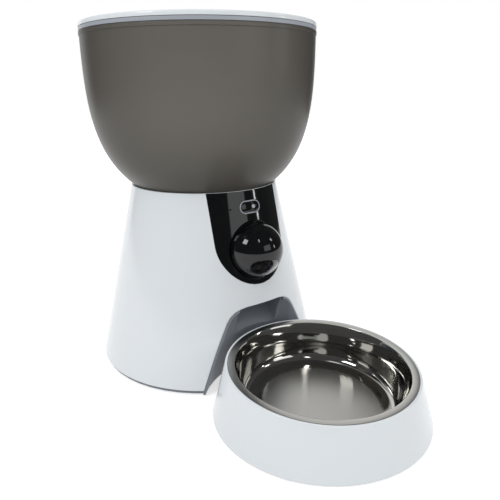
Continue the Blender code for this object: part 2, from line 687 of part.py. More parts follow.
def cut_front_holes(target, axis, grow):
    """Openings for the button, the microphone and the camera ball, in the panel or the shell behind it."""
    place, turn = surface_place(BUTTON_Z)
    length = BUTTON_RING_LENGTH - 2 * BUTTON_RING_WIDTH + 2 * grow
    height = BUTTON_RING_HEIGHT - 2 * BUTTON_RING_WIDTH + 2 * grow
    deep, out = -2 * (PANEL_THICKNESS + SHELL_WALL), CUT_OVERRUN
    pill = prism(slot_outline(length, height), deep, out)
    cut(target, make_helper("button_hole", pill, axis, place, turn))
    mic = disc(MIC_HOLE_RADIUS, 2 * deep, out, SMALL_SEGMENTS, (-MIC_SIDE, 0))
    cut(target, make_helper("mic_hole", mic, axis, place, turn))
    _, turn = surface_place(CAMERA_Z)
    hole = disc(BALL_RADIUS + RUNNING_GAP + SEAT_GAP, -BALL_RADIUS, BALL_RADIUS, MIDDLE_SEGMENTS)
    cut(target, make_helper("ball_hole", hole, axis, (0, -CAMERA_REACH, CAMERA_Z), turn))


def make_front_panel(axis, material):
    low = PANEL_LOW - PANEL_HALF_WIDTH
    layer = cone_layer(0, PANEL_THICKNESS, low, TOWER_HEIGHT - SEAT_GAP)
    panel = make_object("front_panel", layer, material, axis)
    trim(panel, make_helper("panel_outline", panel_prism(0), axis))
    cut_front_holes(panel, axis, BUTTON_RING_WIDTH + SEAT_GAP)
    return panel


def trim_to_cone(target, axis, inset):
    return trim(target, make_helper("cone_trim", cone_solid(inset, 0, TOWER_HEIGHT), axis))


def make_button(axis, dark, light):
    place, turn = surface_place(BUTTON_Z)
    outer = slot_outline(BUTTON_RING_LENGTH, BUTTON_RING_HEIGHT)
    inner_length = BUTTON_RING_LENGTH - 2 * BUTTON_RING_WIDTH
    inner_height = BUTTON_RING_HEIGHT - 2 * BUTTON_RING_WIDTH
    pill = prism(outer, -PANEL_THICKNESS, RUNNING_GAP)
    ring = make_object("button_ring", pill, light, axis, place, turn)
    core = prism(slot_outline(inner_length, inner_height), -2 * BUTTON_DEPTH, CUT_OVERRUN)
    cut(ring, make_helper("ring_hole", core, axis, place, turn))
    trim_to_cone(ring, axis, 0)
    cap = slot_outline(inner_length - 2 * SEAT_GAP, inner_height - 2 * SEAT_GAP)
    button = make_object("feed_button", prism(cap, -BUTTON_DEPTH, RUNNING_GAP), dark, axis, place, turn)
    trim_to_cone(button, axis, 0)
    spot = disc(STATUS_LIGHT_RADIUS + SEAT_GAP, -STATUS_LIGHT_DEPTH - SEAT_GAP, CUT_OVERRUN)
    spot_place = (STATUS_LIGHT_SIDE, place[1], place[2])
    cut(button, make_helper("light_hole", spot, axis, spot_place, turn))
    lamp = disc(STATUS_LIGHT_RADIUS, -STATUS_LIGHT_DEPTH, RUNNING_GAP)
    trim_to_cone(make_object("status_light", lamp, light, axis, spot_place, turn), axis, 0)


def surface_drop(height, side):
    """How far the cone falls back at a place beside its front line."""
    radius = cone_radius(height)
    return radius - sqrt(radius**2 - side**2)


def board_depth():
    """How far the front of the button board lies behind the panel's surface."""
    return BUTTON_DEPTH + BUTTON_TRAVEL + SEAT_GAP + SWITCH_HEIGHT + SEAT_GAP


def join_board_posts(shell, axis):
    place, turn = surface_place(BUTTON_Z)
    pocket_floor = surface_drop(BUTTON_Z, BOARD_POST_SPREAD) + PANEL_THICKNESS + SEAT_GAP
    start = -(pocket_floor + (SHELL_WALL - PANEL_THICKNESS) / 2)
    for side in (-BOARD_POST_SPREAD, BOARD_POST_SPREAD):
        post = disc(BOARD_POST_RADIUS, SEAT_GAP - board_depth(), start, SCREW_SEGMENTS, (side, 0))
        join(shell, make_helper("button_board_post", post, axis, place, turn))


def make_button_board(axis, board, dark, grey):
    place, turn = surface_place(BUTTON_Z)
    front = -board_depth()
    length, height = BUTTON_BOARD_LENGTH / 2, BUTTON_BOARD_HEIGHT / 2
    sheet = box(-length, length, -height, height, front - BUTTON_BOARD_THICKNESS, front)
    make_object("button_board", sheet, board, axis, place, turn)
    half = SWITCH_SIDE / 2
    body = box(-half, half, -half, half, front + SEAT_GAP, front + SEAT_GAP + SWITCH_HEIGHT)
    make_object("button_switch", body, grey, axis, place, turn)
    wall = surface_drop(BUTTON_Z, MIC_SIDE + MIC_RADIUS) + SHELL_WALL + 2 * SEAT_GAP
    capsule = disc(MIC_RADIUS, front + SEAT_GAP, -wall, SMALL_SEGMENTS, (-MIC_SIDE, 0))
    make_object("microphone", capsule, dark, axis, place, turn)


def sphere_arc(radius, start, end):
    """Half section of a sphere: angles are measured from local Z."""
    return [(x, z) for z, x in arc((0, 0), radius, start, end, 2 * CORNER_STEPS)]


def make_camera_socket(pivot, axis, material):
    turn = surface_place(CAMERA_Z)[1]
    inner = BALL_RADIUS + RUNNING_GAP
    outer = inner + SOCKET_WALL
    hole_angle = 180 - atan((ARM_RADIUS + SEAT_GAP) / inner) * 180 / pi
    outline = [(SOCKET_FLANGE_RADIUS, BALL_RADIUS), (inner, BALL_RADIUS)]
    outline += sphere_arc(inner, 90, hole_angle)
    outline += [(ARM_RADIUS + SEAT_GAP, -outer)]
    outline += sphere_arc(outer, *SOCKET_BACK_ANGLES)
    outline += [(SOCKET_FLANGE_RADIUS, -SOCKET_FLANGE_DEPTH)]
    socket = make_object("camera_socket", turned(outline, MIDDLE_SEGMENTS), material, pivot, (0, 0, 0), turn)
    return trim_to_cone(socket, axis, SHELL_WALL + SEAT_GAP)


def make_camera_arm(pivot, plastic, steel):
    """A fixed arm reaches into the ball from behind and holds the pin that the ball tilts on."""
    turn = surface_place(CAMERA_Z)[1]
    rear = BALL_RADIUS + RUNNING_GAP + SOCKET_WALL + SEAT_GAP
    arm = make_object("camera_arm", disc(ARM_RADIUS, -rear, 0), plastic, pivot, (0, 0, 0), turn)
    eye = disc(ARM_EYE_RADIUS, -ARM_RADIUS, ARM_RADIUS)
    across = (0, pi / 2, 0)
    join(arm, make_helper("arm_eye", eye, pivot, (0, 0, 0), across))
    hole = disc(TILT_PIN_RADIUS + SEAT_GAP, -BALL_RADIUS, BALL_RADIUS)
    cut(arm, make_helper("arm_hole", hole, pivot, (0, 0, 0), across))
    reach = BALL_RADIUS - BALL_WALL - RUNNING_GAP
    pin = disc(TILT_PIN_RADIUS, -reach, reach, SCREW_SEGMENTS)
    make_object("tilt_pin", pin, steel, pivot, (0, 0, 0), across)


def make_camera_ball(pivot, shell, glass, dark, board):
    """Local Z is the way the lens looks."""
    turn = (pi / 2 + radians(CAMERA_REST_TILT), 0, 0)
    inner = BALL_RADIUS - BALL_WALL
    front = LENS_WINDOW_RADIUS + SEAT_GAP
    outer_start = atan(front / sqrt(BALL_RADIUS**2 - front**2)) * 180 / pi
    inner_start = atan(front / sqrt(inner**2 - front**2)) * 180 / pi
    outline = [(x, z) for z, x in arc((0, 0), BALL_RADIUS, outer_start, 180, 4 * CORNER_STEPS)][:-1]
    outline += [(0, -BALL_RADIUS), (0, -inner)]
    outline += [(x, z) for z, x in arc((0, 0), inner, 180, inner_start, 4 * CORNER_STEPS)][1:]
    ball = make_object("camera_ball", turned(outline, MIDDLE_SEGMENTS), shell, pivot, (0, 0, 0), turn)
    swing = radians(CAMERA_TILT_UP + CAMERA_TILT_DOWN) / 2
    slot_reach = BALL_RADIUS * sin(swing) + ARM_RADIUS + RUNNING_GAP
    width = BALL_SLOT_HALF_WIDTH
    slot = box(-width, width, -slot_reach, slot_reach, -BALL_RADIUS - CUT_OVERRUN, -BALL_RADIUS / 2)
    middle = radians(CAMERA_TILT_UP - CAMERA_TILT_DOWN) / 2
    slot_turn = (pi / 2 - FRONT_TILT + middle, 0, 0)
    cut(ball, make_helper("ball_slot", slot, pivot, (0, 0, 0), slot_turn))
    window_angle = atan(LENS_WINDOW_RADIUS / sqrt(BALL_RADIUS**2 - LENS_WINDOW_RADIUS**2)) * 180 / pi
    dome = [(x, z) for z, x in arc((0, 0), BALL_RADIUS, 0, window_angle, CORNER_STEPS)][1:]
    crown = BALL_RADIUS - LENS_WINDOW_THICKNESS
    window = [(0, crown), (0, BALL_RADIUS)] + dome
    window += [(LENS_WINDOW_RADIUS, dome[-1][1] - LENS_WINDOW_THICKNESS), (LENS_RADIUS, crown)]
    make_object("lens_window", turned(window, MIDDLE_SEGMENTS), glass, pivot, (0, 0, 0), turn)
    lens_front = crown - SEAT_GAP
    barrel = disc(LENS_RADIUS, lens_front - LENS_LENGTH, lens_front, MIDDLE_SEGMENTS)
    make_object("camera_lens", barrel, dark, pivot, (0, 0, 0), turn)
    half, back = CAMERA_BOARD_SIDE / 2, lens_front - LENS_LENGTH - SEAT_GAP
    sheet = box(-half, half, -half, half, back - CAMERA_BOARD_THICKNESS, back)
    make_object("camera_board", sheet, board, pivot, (0, 0, 0), turn)


# Dispenser


def chute_sections():
    """Front and back points of the chute's inside, from the well down to the doorway."""
    lines = []
    top = WELL_LOW - SEAT_GAP
    for start, shares in ((OUTLET_FRONT, CHUTE_FRONT_SHARES), (OUTLET_BACK, CHUTE_BACK_SHARES)):
        way = SHELL_FOOT_RADIUS - start
        lines.append([(start, top)] + [(start + out * way, up * CAMERA_Z) for out, up in shares])
    return list(zip(*lines))


def chute_solid(grow, overrun):
    """The chute's section is a rectangle with round corners, grown by the wall for its outside."""
    loops = []
    sections = chute_sections()
    for index, (front, back) in enumerate(sections):
        run, rise = back[0] - front[0], back[1] - front[1]
        length = sqrt(run * run + rise * rise)
        half = length / 2 + grow
        middle = ((front[0] + back[0]) / 2, (front[1] + back[1]) / 2)
        lift = overrun if index == 0 else 0
        side, round_ = OUTLET_HALF_WIDTH + grow, CHUTE_CORNER
        corner_x, corner_s = side - round_, half - round_
        outline = arc((corner_x, corner_s), round_, 0, 90, CORNER_STEPS)
        outline += arc((-corner_x, corner_s), round_, 90, 180, CORNER_STEPS)
        outline += arc((-corner_x, -corner_s), round_, 180, 270, CORNER_STEPS)
        outline += arc((corner_x, -corner_s), round_, 270, 360, CORNER_STEPS)
        loop = []
        for x, along in outline:
            y = -(middle[0] + along * run / length)
            loop.append((x, y, middle[1] + along * rise / length + lift))
        loops.append(loop)
    return lofted(loops)


def make_chute(axis, door_axis, material):
    chute = make_object("chute", chute_solid(CHUTE_WALL, 0), material, axis)
    trim_to_cone(chute, axis, SHELL_WALL + SEAT_GAP)
    cut(chute, make_helper("chute_inside", chute_solid(0, CUT_OVERRUN), axis))
    cut(chute, make_helper("chute_doorway", doorway_solid(0), door_axis))
    return chute


def outlet_box(margin, low, high):
    side = OUTLET_HALF_WIDTH - margin
    return box(-side, side, -OUTLET_FRONT + margin, -OUTLET_BACK - margin, low, high)


def make_well(axis, material, steel):
    bore = SHAFT_HEX_RADIUS + 2 * SEAT_GAP
    flange = WELL_RADIUS + WELL_FLANGE
    outline = [(bore, WELL_LOW), (WELL_RADIUS, WELL_LOW), (WELL_RADIUS, WELL_TOP - WELL_WALL)]
    outline += [(flange, WELL_TOP - WELL_WALL), (flange, WELL_TOP), (WELL_INNER, WELL_TOP)]
    outline += [(WELL_INNER, WELL_FLOOR), (bore, WELL_FLOOR)]
    well = make_object("dispenser_well", turned(outline, MIDDLE_SEGMENTS), material, axis)
    outlet = outlet_box(0, WELL_LOW - CUT_OVERRUN, WELL_FLOOR + CUT_OVERRUN)
    cut(well, make_helper("well_outlet", outlet, axis))
    for angle in WELL_SCREW_ANGLES:
        cut(well, make_helper("flange_hole", well_screw_hole(angle, WELL_LOW), axis))
    for x, y in case_screw_places():
        high = WELL_FLOOR - SEAT_GAP
        hole = disc(CASE_SCREW_RADIUS + SEAT_GAP, WELL_LOW - CUT_OVERRUN, high, SCREW_SEGMENTS, (x, y))
        cut(well, make_helper("well_case_hole", hole, axis))
    shape = screw_shape(WELL_SCREW_RADIUS, WELL_SCREW_LENGTH, WELL_SCREW_HEAD_RADIUS, WELL_SCREW_HEAD_HEIGHT)
    for number, angle in enumerate(WELL_SCREW_ANGLES, 1):
        x, y = round_place(WELL_RADIUS + WELL_FLANGE / 2, angle)
        place = (x, y, WELL_TOP - WELL_WALL - SEAT_GAP)
        make_object(f"well_screw_{number}", shape, steel, axis, place)


def hex_outline(radius):
    return arc((0, 0), radius, 0, 360, 6)[:-1]


def make_rotor(axis, rubber, grey, steel):
    outline = []
    for number in range(ROTOR_VANES):
        angle = 2 * pi * (number + 0.5) / ROTOR_VANES
        half = VANE_THICKNESS / 2
        corners = [(ROTOR_HUB_RADIUS, -half), (ROTOR_RADIUS, -half)]
        corners += [(ROTOR_RADIUS, half), (ROTOR_HUB_RADIUS, half)]
        for along, side in corners:
            outline.append((along * cos(angle) - side * sin(angle), along * sin(angle) + side * cos(angle)))
    rotor = make_object("food_rotor", prism(outline, ROTOR_LOW, ROTOR_TOP), rubber, axis)
    socket_top = ROTOR_LOW + SHAFT_SOCKET_DEPTH
    socket = prism(hex_outline(SHAFT_HEX_RADIUS + SEAT_GAP), ROTOR_LOW - CUT_OVERRUN, socket_top)
    cut(rotor, make_helper("rotor_socket", socket, axis))
    post_low = ROTOR_TOP + SEAT_GAP
    post_top = post_low + STIRRER_POST_HEIGHT
    stirrer = make_object("stirrer", disc(STIRRER_POST_RADIUS, post_low, post_top), grey, axis)
    arm = disc(STIRRER_ARM_RADIUS, -STIRRER_ARM_REACH, STIRRER_ARM_REACH, SCREW_SEGMENTS)
    arm_place = (0, 0, post_top - 2 * STIRRER_ARM_RADIUS)
    join(stirrer, make_helper("stirrer_arm", arm, axis, arm_place, (0, pi / 2, 0)))
    shaft = prism(hex_outline(SHAFT_HEX_RADIUS), CASE_FLOOR_TOP + SEAT_GAP, socket_top - SEAT_GAP)
    make_object("output_shaft", shaft, steel, axis)


def make_portion_parts(axis, grey):
    floor = disc(NECK_RADIUS, METER_FLOOR_LOW, METER_FLOOR_TOP, MIDDLE_SEGMENTS)
    plate = make_object("portion_floor", floor, grey, axis)
    low, high = METER_FLOOR_LOW - CUT_OVERRUN, METER_FLOOR_TOP + CUT_OVERRUN
    cut(plate, make_helper("floor_outlet", outlet_box(OUTLET_MARGIN, low, high), axis))
    cut(plate, make_helper("floor_bore", disc(SHAFT_HEX_RADIUS + 2 * SEAT_GAP, low, high), axis))
    inner, outer = STIRRER_POST_RADIUS + RUNNING_GAP, NECK_INNER - SEAT_GAP
    top = BAFFLE_LOW + BAFFLE_THICKNESS
    section = [(inner, BAFFLE_LOW), (outer, BAFFLE_LOW), (outer, top), (inner, top)]
    start, end = 270 - BAFFLE_HALF_ANGLE, 270 + BAFFLE_HALF_ANGLE
    make_object("portion_baffle", sector(section, start, end, MIDDLE_SEGMENTS // 2), grey, axis)


# Drive


def case_screw_places():
    side, inset = CASE_HALF_WIDTH - CASE_POST_RADIUS / 2, CASE_POST_RADIUS / 2
    return ((-side, -CASE_HALF_WIDTH + inset), (side, CASE_BACK - inset))


def make_gear_case(axis, material, steel):
    wall, half = CASE_WALL, CASE_HALF_WIDTH
    outside = box(-half - wall, half + wall, -half - wall, CASE_BACK + wall, CASE_LOW, CASE_TOP)
    case = make_object("gear_case", outside, material, axis)
    inside = box(-half, half, -half, CASE_BACK, CASE_FLOOR_TOP, CASE_TOP + CUT_OVERRUN)
    pocket = make_helper("case_inside", inside, axis)
    for place in case_screw_places():
        post = disc(CASE_POST_RADIUS, CASE_LOW, CASE_TOP + 2 * CUT_OVERRUN, SMALL_SEGMENTS, place)
        cut(pocket, make_helper("case_post", post, axis))
    pin = disc(IDLER_PIN_RADIUS, CASE_LOW, CASE_TOP + 2 * CUT_OVERRUN, SMALL_SEGMENTS, (0, GEAR_DISTANCE))
    cut(pocket, make_helper("idler_pin", pin, axis))
    cut(case, pocket)
    for place in case_screw_places():
        hole = disc(CASE_SCREW_RADIUS + SEAT_GAP, CASE_LOW - CUT_OVERRUN, WELL_LOW, SCREW_SEGMENTS, place)
        cut(case, make_helper("case_screw_hole", hole, axis))
    bore = disc(MOTOR_SHAFT_RADIUS + 2 * SEAT_GAP, CASE_LOW - CUT_OVERRUN, CASE_FLOOR_TOP + CUT_OVERRUN)
    cut(case, make_helper("motor_bore", bore, axis, (0, MOTOR_BACK, 0)))
    for side in (-MOTOR_SCREW_SPREAD, MOTOR_SCREW_SPREAD):
        place = (side, MOTOR_BACK)
        low, high = CASE_LOW - CUT_OVERRUN, CASE_FLOOR_TOP + CUT_OVERRUN
        hole = disc(MOTOR_SCREW_RADIUS + SEAT_GAP, low, high, SCREW_SEGMENTS, place)
        cut(case, make_helper("motor_screw_hole", hole, axis))
    length = WELL_FLOOR - 2 * SEAT_GAP - CASE_LOW
    shape = screw_shape(CASE_SCREW_RADIUS, length, CASE_SCREW_HEAD_RADIUS, CASE_SCREW_HEAD_HEIGHT)
    for number, (x, y) in enumerate(case_screw_places(), 1):
        make_object(f"case_screw_{number}", shape, steel, axis, (x, y, CASE_LOW - SEAT_GAP))


def make_gears(axis, plastic, steel):
    upper_top = UPPER_GEAR_LOW + UPPER_GEAR_THICKNESS
    lower_top = LOWER_GEAR_LOW + LOWER_GEAR_THICKNESS
    half_tooth = 180 / PINION_TEETH
    drive = prism(gear_outline(WHEEL_TEETH), UPPER_GEAR_LOW, upper_top)
    drive_gear = make_object("drive_gear", drive, plastic, axis)
    bore = prism(hex_outline(SHAFT_HEX_RADIUS + SEAT_GAP), LOWER_GEAR_LOW, CASE_TOP)
    cut(drive_gear, make_helper("drive_bore", bore, axis))
    idler_place = (0, GEAR_DISTANCE, 0)
    wheel = prism(gear_outline(WHEEL_TEETH), LOWER_GEAR_LOW, lower_top)
    idler = make_object("idler_gear", wheel, plastic, axis, idler_place)
    small = prism(gear_outline(PINION_TEETH, half_tooth), lower_top - GEAR_FLOOR_GAP, upper_top)
    join(idler, make_helper("idler_pinion", small, axis, idler_place))
    hole = disc(IDLER_PIN_RADIUS + SEAT_GAP, CASE_LOW, CASE_TOP)
    cut(idler, make_helper("idler_bore", hole, axis, idler_place))
    teeth = prism(gear_outline(PINION_TEETH, half_tooth), LOWER_GEAR_LOW, lower_top)
    pinion = make_object("motor_pinion", teeth, steel, axis, (0, MOTOR_BACK, 0))
    shaft = disc(MOTOR_SHAFT_RADIUS, MOTOR_TOP - MOTOR_SHAFT_DEPTH, lower_top - GEAR_FLOOR_GAP)
    join(pinion, make_helper("motor_shaft", shaft, axis, (0, MOTOR_BACK, 0)))


def make_motor(axis, steel, dark):
    place = (0, MOTOR_BACK, 0)
    can = disc(MOTOR_RADIUS, MOTOR_TOP - MOTOR_LENGTH, MOTOR_TOP, MIDDLE_SEGMENTS)
    motor = make_object("motor", can, steel, axis, place)
    low = MOTOR_TOP - MOTOR_SHAFT_DEPTH - SEAT_GAP
    bore = disc(MOTOR_SHAFT_RADIUS + 2 * SEAT_GAP, low, CASE_LOW)
    cut(motor, make_helper("motor_hole", bore, axis, place))
    seat = CASE_FLOOR_TOP + SEAT_GAP
    length = seat - MOTOR_TOP + MOTOR_SCREW_DEPTH
    shape = screw_shape(MOTOR_SCREW_RADIUS, length, MOTOR_SCREW_HEAD_RADIUS, MOTOR_SCREW_HEAD_HEIGHT)
    for number, side in enumerate((-MOTOR_SCREW_SPREAD, MOTOR_SCREW_SPREAD), 1):
        hole = disc(MOTOR_SCREW_RADIUS + SEAT_GAP, seat - length - SEAT_GAP, CASE_LOW, SCREW_SEGMENTS)
        cut(motor, make_helper("motor_screw_bore", hole, axis, (side, MOTOR_BACK, 0)))
        make_object(f"motor_screw_{number}", shape, dark, axis, (side, MOTOR_BACK, seat), (pi, 0, 0))


# Electronics in the base


def main_post_places():
    side = MAIN_BOARD_LENGTH / 2 - MAIN_POST_INSET
    back, front = MAIN_BOARD_BACK - MAIN_POST_INSET, MAIN_BOARD_BACK - MAIN_BOARD_WIDTH + MAIN_POST_INSET
    return ((-side, front), (side, front), (-side, back), (side, back))


def make_electronics(axis, board, steel, dark):
    low = PLATE_TOP + BOARD_POST_HEIGHT + SEAT_GAP
    top = low + MAIN_BOARD_THICKNESS
    half, front = MAIN_BOARD_LENGTH / 2, MAIN_BOARD_BACK - MAIN_BOARD_WIDTH
    main = make_object("main_board", box(-half, half, front, MAIN_BOARD_BACK, low, top), board, axis)
    for x, y in main_post_places():
        radius = BOARD_SCREW_RADIUS + SEAT_GAP
        hole = disc(radius, low - CUT_OVERRUN, top + CUT_OVERRUN, SCREW_SEGMENTS, (x, y))
        cut(main, make_helper("board_hole", hole, axis))
    head_radius, head_height = BOARD_SCREW_HEAD_RADIUS, BOARD_SCREW_HEAD_HEIGHT
    shape = screw_shape(BOARD_SCREW_RADIUS, BOARD_SCREW_LENGTH, head_radius, head_height)
    for number, index in enumerate((0, 3), 1):
        x, y = main_post_places()[index]
        make_object(f"board_screw_{number}", shape, steel, axis, (x, y, top + SEAT_GAP), (pi, 0, 0))
    back, seat = MAIN_BOARD_BACK - MAIN_BOARD_WIDTH / 2, top + SEAT_GAP
    radio = box(-RADIO_LENGTH / 2, RADIO_LENGTH / 2, back, back + RADIO_WIDTH, seat, seat + RADIO_HEIGHT)
    make_object("radio_module", radio, steel, axis)
    seat = PLATE_TOP + SEAT_GAP
    place = (-SPEAKER_SIDE, SPEAKER_BACK, 0)
    drum = disc(SPEAKER_RADIUS, seat, seat + SPEAKER_HEIGHT, MIDDLE_SEGMENTS)
    make_object("speaker", drum, dark, axis, place)
    make_power_inlet(axis, dark)


def make_power_inlet(axis, dark):
    seat = PLATE_TOP + SEAT_GAP
    wall = cone_radius(seat + INLET_HEIGHT, SHELL_WALL)
    body_back = sqrt(wall**2 - (INLET_WIDTH / 2) ** 2) - 2 * SEAT_GAP
    half = INLET_WIDTH / 2
    shape = box(-half, half, body_back - INLET_LENGTH, body_back, seat, seat + INLET_HEIGHT)
    inlet = make_object("power_inlet", shape, dark, axis)
    mouth = cone_radius(INLET_Z) - INLET_RECESS
    across = (-pi / 2, 0, 0)
    nose = disc(INLET_NOSE_RADIUS, body_back - INLET_LENGTH / 2, mouth)
    join(inlet, make_helper("inlet_nose", nose, axis, (0, 0, INLET_Z), across))
    bore = disc(INLET_BORE_RADIUS, body_back - INLET_LENGTH / 2, mouth + CUT_OVERRUN)
    cut(inlet, make_helper("inlet_bore", bore, axis, (0, 0, INLET_Z), across))


# Hopper and lid


def hopper_curve():
    """Outer side of the hopper from under its lip down to its foot."""
    start = (HOPPER_RADIUS - HOPPER_LIP_STEP, HOPPER_TOP_Z - HOPPER_LIP_HEIGHT)
    end = (HOPPER_FOOT_RADIUS, TOWER_HEIGHT)
    height = start[1] - end[1]
    shoulder = (start[0], start[1] - HOPPER_SHOULDER_SHARE * height)
    lean = radians(HOPPER_FOOT_ANGLE)
    reach = HOPPER_WAIST_SHARE * height
    waist = (end[0] + reach * cos(lean), end[1] + reach * sin(lean))
    return curve_points(start, shoulder, waist, end)


def make_hopper(axis, material):
    outer = hopper_curve()
    inner = shifted(outer, -HOPPER_WALL)[::-1]
    foot_low = DECK_TOP + SEAT_GAP
    foot_inner = HOPPER_FOOT_RADIUS - HOPPER_FOOT_WALL
    floor_top = foot_low + HOPPER_FLOOR
    slope = (inner[0][1] - floor_top) / (inner[0][0] - NECK_INNER)
    under = foot_low + slope * (foot_inner - NECK_RADIUS)
    outline = [(HOPPER_RADIUS, HOPPER_TOP_Z), (HOPPER_RADIUS, outer[0][1])] + outer
    outline += [(HOPPER_FOOT_RADIUS, foot_low), (foot_inner, foot_low), (foot_inner, under)]
    outline += [(NECK_RADIUS, foot_low), (NECK_RADIUS, NECK_LOW), (NECK_INNER, NECK_LOW)]
    outline += [(NECK_INNER, floor_top)] + inner + [(inner[-1][0], HOPPER_TOP_Z)]
    hopper = make_object("hopper", turned(outline), material, axis)
    wall_inner = HOPPER_RADIUS - HOPPER_LIP_STEP - HOPPER_WALL
    tip, root, under = wall_inner - LEDGE_REACH, wall_inner + HOPPER_WALL / 2, LEDGE_TOP - LEDGE_HEIGHT
    section = [(tip, under), (root, under), (root, LEDGE_TOP), (tip, LEDGE_TOP)]
    for angle in LEDGE_ANGLES:
        ledge = sector(section, angle - LEDGE_HALF_ANGLE, angle + LEDGE_HALF_ANGLE, CORNER_STEPS)
        join(hopper, make_helper("lid_ledge", ledge, axis))
    return hopper


def make_lid(axis, white, band_grey, clear, grey):
    spigot = SKIRT_RADIUS - LID_SKIRT_WALL - SEAT_GAP
    plate_top = LID_PLATE_LOW + LID_PLATE_THICKNESS
    centre = (HOPPER_RADIUS - LID_EDGE_ROUND, plate_top - LID_EDGE_ROUND)
    edge = arc(centre, LID_EDGE_ROUND, 0, 90, CORNER_STEPS)
    floor = plate_top - LID_PLATE_FLOOR
    outline = [(0, plate_top + LID_CROWN)] + edge[::-1] + [(HOPPER_RADIUS, LID_PLATE_LOW)]
    outline += [(spigot, LID_PLATE_LOW), (spigot, LID_BAND_LOW), (spigot - LID_SPIGOT_WALL, LID_BAND_LOW)]
    outline += [(spigot - LID_SPIGOT_WALL, floor), (0, floor)]
    make_object("lid_plate", turned(outline), white, axis)
    make_lid_band(axis, band_grey)
    top = LID_BAND_LOW - SEAL_DROP - SEAT_GAP
    inner = SKIRT_RADIUS - SEAL_WIDTH / 2 + SEAT_GAP
    outer = SKIRT_RADIUS + LID_SKIRT_GAP - SEAT_GAP
    ring = [(inner, top - SEAL_HEIGHT), (outer, top - SEAL_HEIGHT), (outer, top), (inner, top)]
    make_object("lid_seal", turned(ring), clear, axis)
    make_desiccant_box(axis, floor, grey)


def make_lid_band(axis, material):
    """The grey ring under the lid plate, with the skirt that goes into the hopper."""
    band_top = LID_BAND_LOW + LID_BAND_HEIGHT
    skirt_inner = SKIRT_RADIUS - LID_SKIRT_WALL
    groove = SKIRT_RADIUS - SEAL_WIDTH / 2
    groove_top = LID_BAND_LOW - SEAL_DROP
    groove_low = groove_top - SEAL_HEIGHT - 2 * SEAT_GAP
    skirt_low = LID_BAND_LOW - LID_SKIRT_DEPTH
    outline = [(LID_BAND_RADIUS, LID_BAND_LOW), (LID_BAND_RADIUS, band_top), (skirt_inner, band_top)]
    outline += [(skirt_inner, skirt_low), (SKIRT_RADIUS, skirt_low), (SKIRT_RADIUS, groove_low)]
    outline += [(groove, groove_low), (groove, groove_top), (SKIRT_RADIUS, groove_top)]
    outline += [(SKIRT_RADIUS, LID_BAND_LOW)]
    band = make_object("lid_band", turned(outline), material, axis)
    low, high = LEDGE_TOP + SEAT_GAP, skirt_low + (groove_low - skirt_low) / 2
    reach = SKIRT_RADIUS + SEAT_GAP
    middle = SKIRT_RADIUS - LID_SKIRT_WALL / 2
    section = [(middle, low), (reach, low), (reach, high), (middle, high)]
    for angle in LEDGE_ANGLES:
        centre = angle - TAB_SHIFT_ANGLE
        tab = sector(section, centre - TAB_HALF_ANGLE, centre + TAB_HALF_ANGLE, CORNER_STEPS)
        join(band, make_helper("lid_tab", tab, axis))


def make_desiccant_box(axis, ceiling, grey):
    top = ceiling - SEAT_GAP
    low = top - DESICCANT_HEIGHT
    inner = DESICCANT_RADIUS - DESICCANT_WALL
    outline = [(0, top), (DESICCANT_RADIUS, top), (DESICCANT_RADIUS, low), (inner, low)]
    outline += [(inner, top - DESICCANT_WALL), (0, top - DESICCANT_WALL)]
    make_object("desiccant_box", turned(outline, MIDDLE_SEGMENTS), grey, axis)
    cover = disc(inner - SEAT_GAP, low, low + DESICCANT_WALL, MIDDLE_SEGMENTS)
    lid = make_object("desiccant_cover", cover, grey, axis)
    for number in range(DESICCANT_HOLES):
        x, y = round_place(DESICCANT_HOLE_CIRCLE, 360 * number / DESICCANT_HOLES)
        hole = disc(DESICCANT_HOLE_RADIUS, low - CUT_OVERRUN, low + 2 * CUT_OVERRUN, SCREW_SEGMENTS, (x, y))
        cut(lid, make_helper("cover_hole", hole, axis))


# Bowl stand and bowl


def make_stand(axis, material, rubber):
    lip = STAND_RIM_RADIUS - STAND_LIP_WIDTH
    seat = lip - STAND_SEAT_WIDTH
    flange_top = STAND_LOW + STAND_FLANGE_THICKNESS
    under = STAND_SEAT_Z - STAND_WALL
    round_centre = (STAND_RIM_RADIUS - STAND_LIP_ROUND, STAND_HEIGHT - STAND_LIP_ROUND)
    outline = [(STAND_FOOT_RADIUS, STAND_LOW)] + arc(round_centre, STAND_LIP_ROUND, 0, 90, CORNER_STEPS)
    outline += [(lip, STAND_HEIGHT), (lip, STAND_SEAT_Z), (seat, STAND_SEAT_Z), (seat, under)]
    outline += [(STAND_RIM_RADIUS - STAND_WALL, under - STAND_WALL)]
    flange_inner = STAND_FOOT_RADIUS - STAND_FLANGE_WIDTH
    outline += [(STAND_FOOT_RADIUS - STAND_WALL, flange_top), (flange_inner, flange_top)]
    outline += [(flange_inner, STAND_LOW)]
    points, faces = turned(outline)
    lean = tan(radians(BOWL_TILT)) / (STAND_SEAT_Z - STAND_LOW)
    points = [(x, y, z + lean * y * (z - STAND_LOW)) for x, y, z in points]
    make_object("bowl_stand", (points, faces), material, axis)
    reach = STAND_FOOT_RADIUS - STAND_FLANGE_WIDTH / 2
    for number, angle in enumerate(STAND_PAD_ANGLES, 1):
        x, y = round_place(reach, angle)
        make_object(f"stand_pad_{number}", disc(STAND_PAD_RADIUS, 0, PAD_THICKNESS), rubber, axis, (x, y, 0))


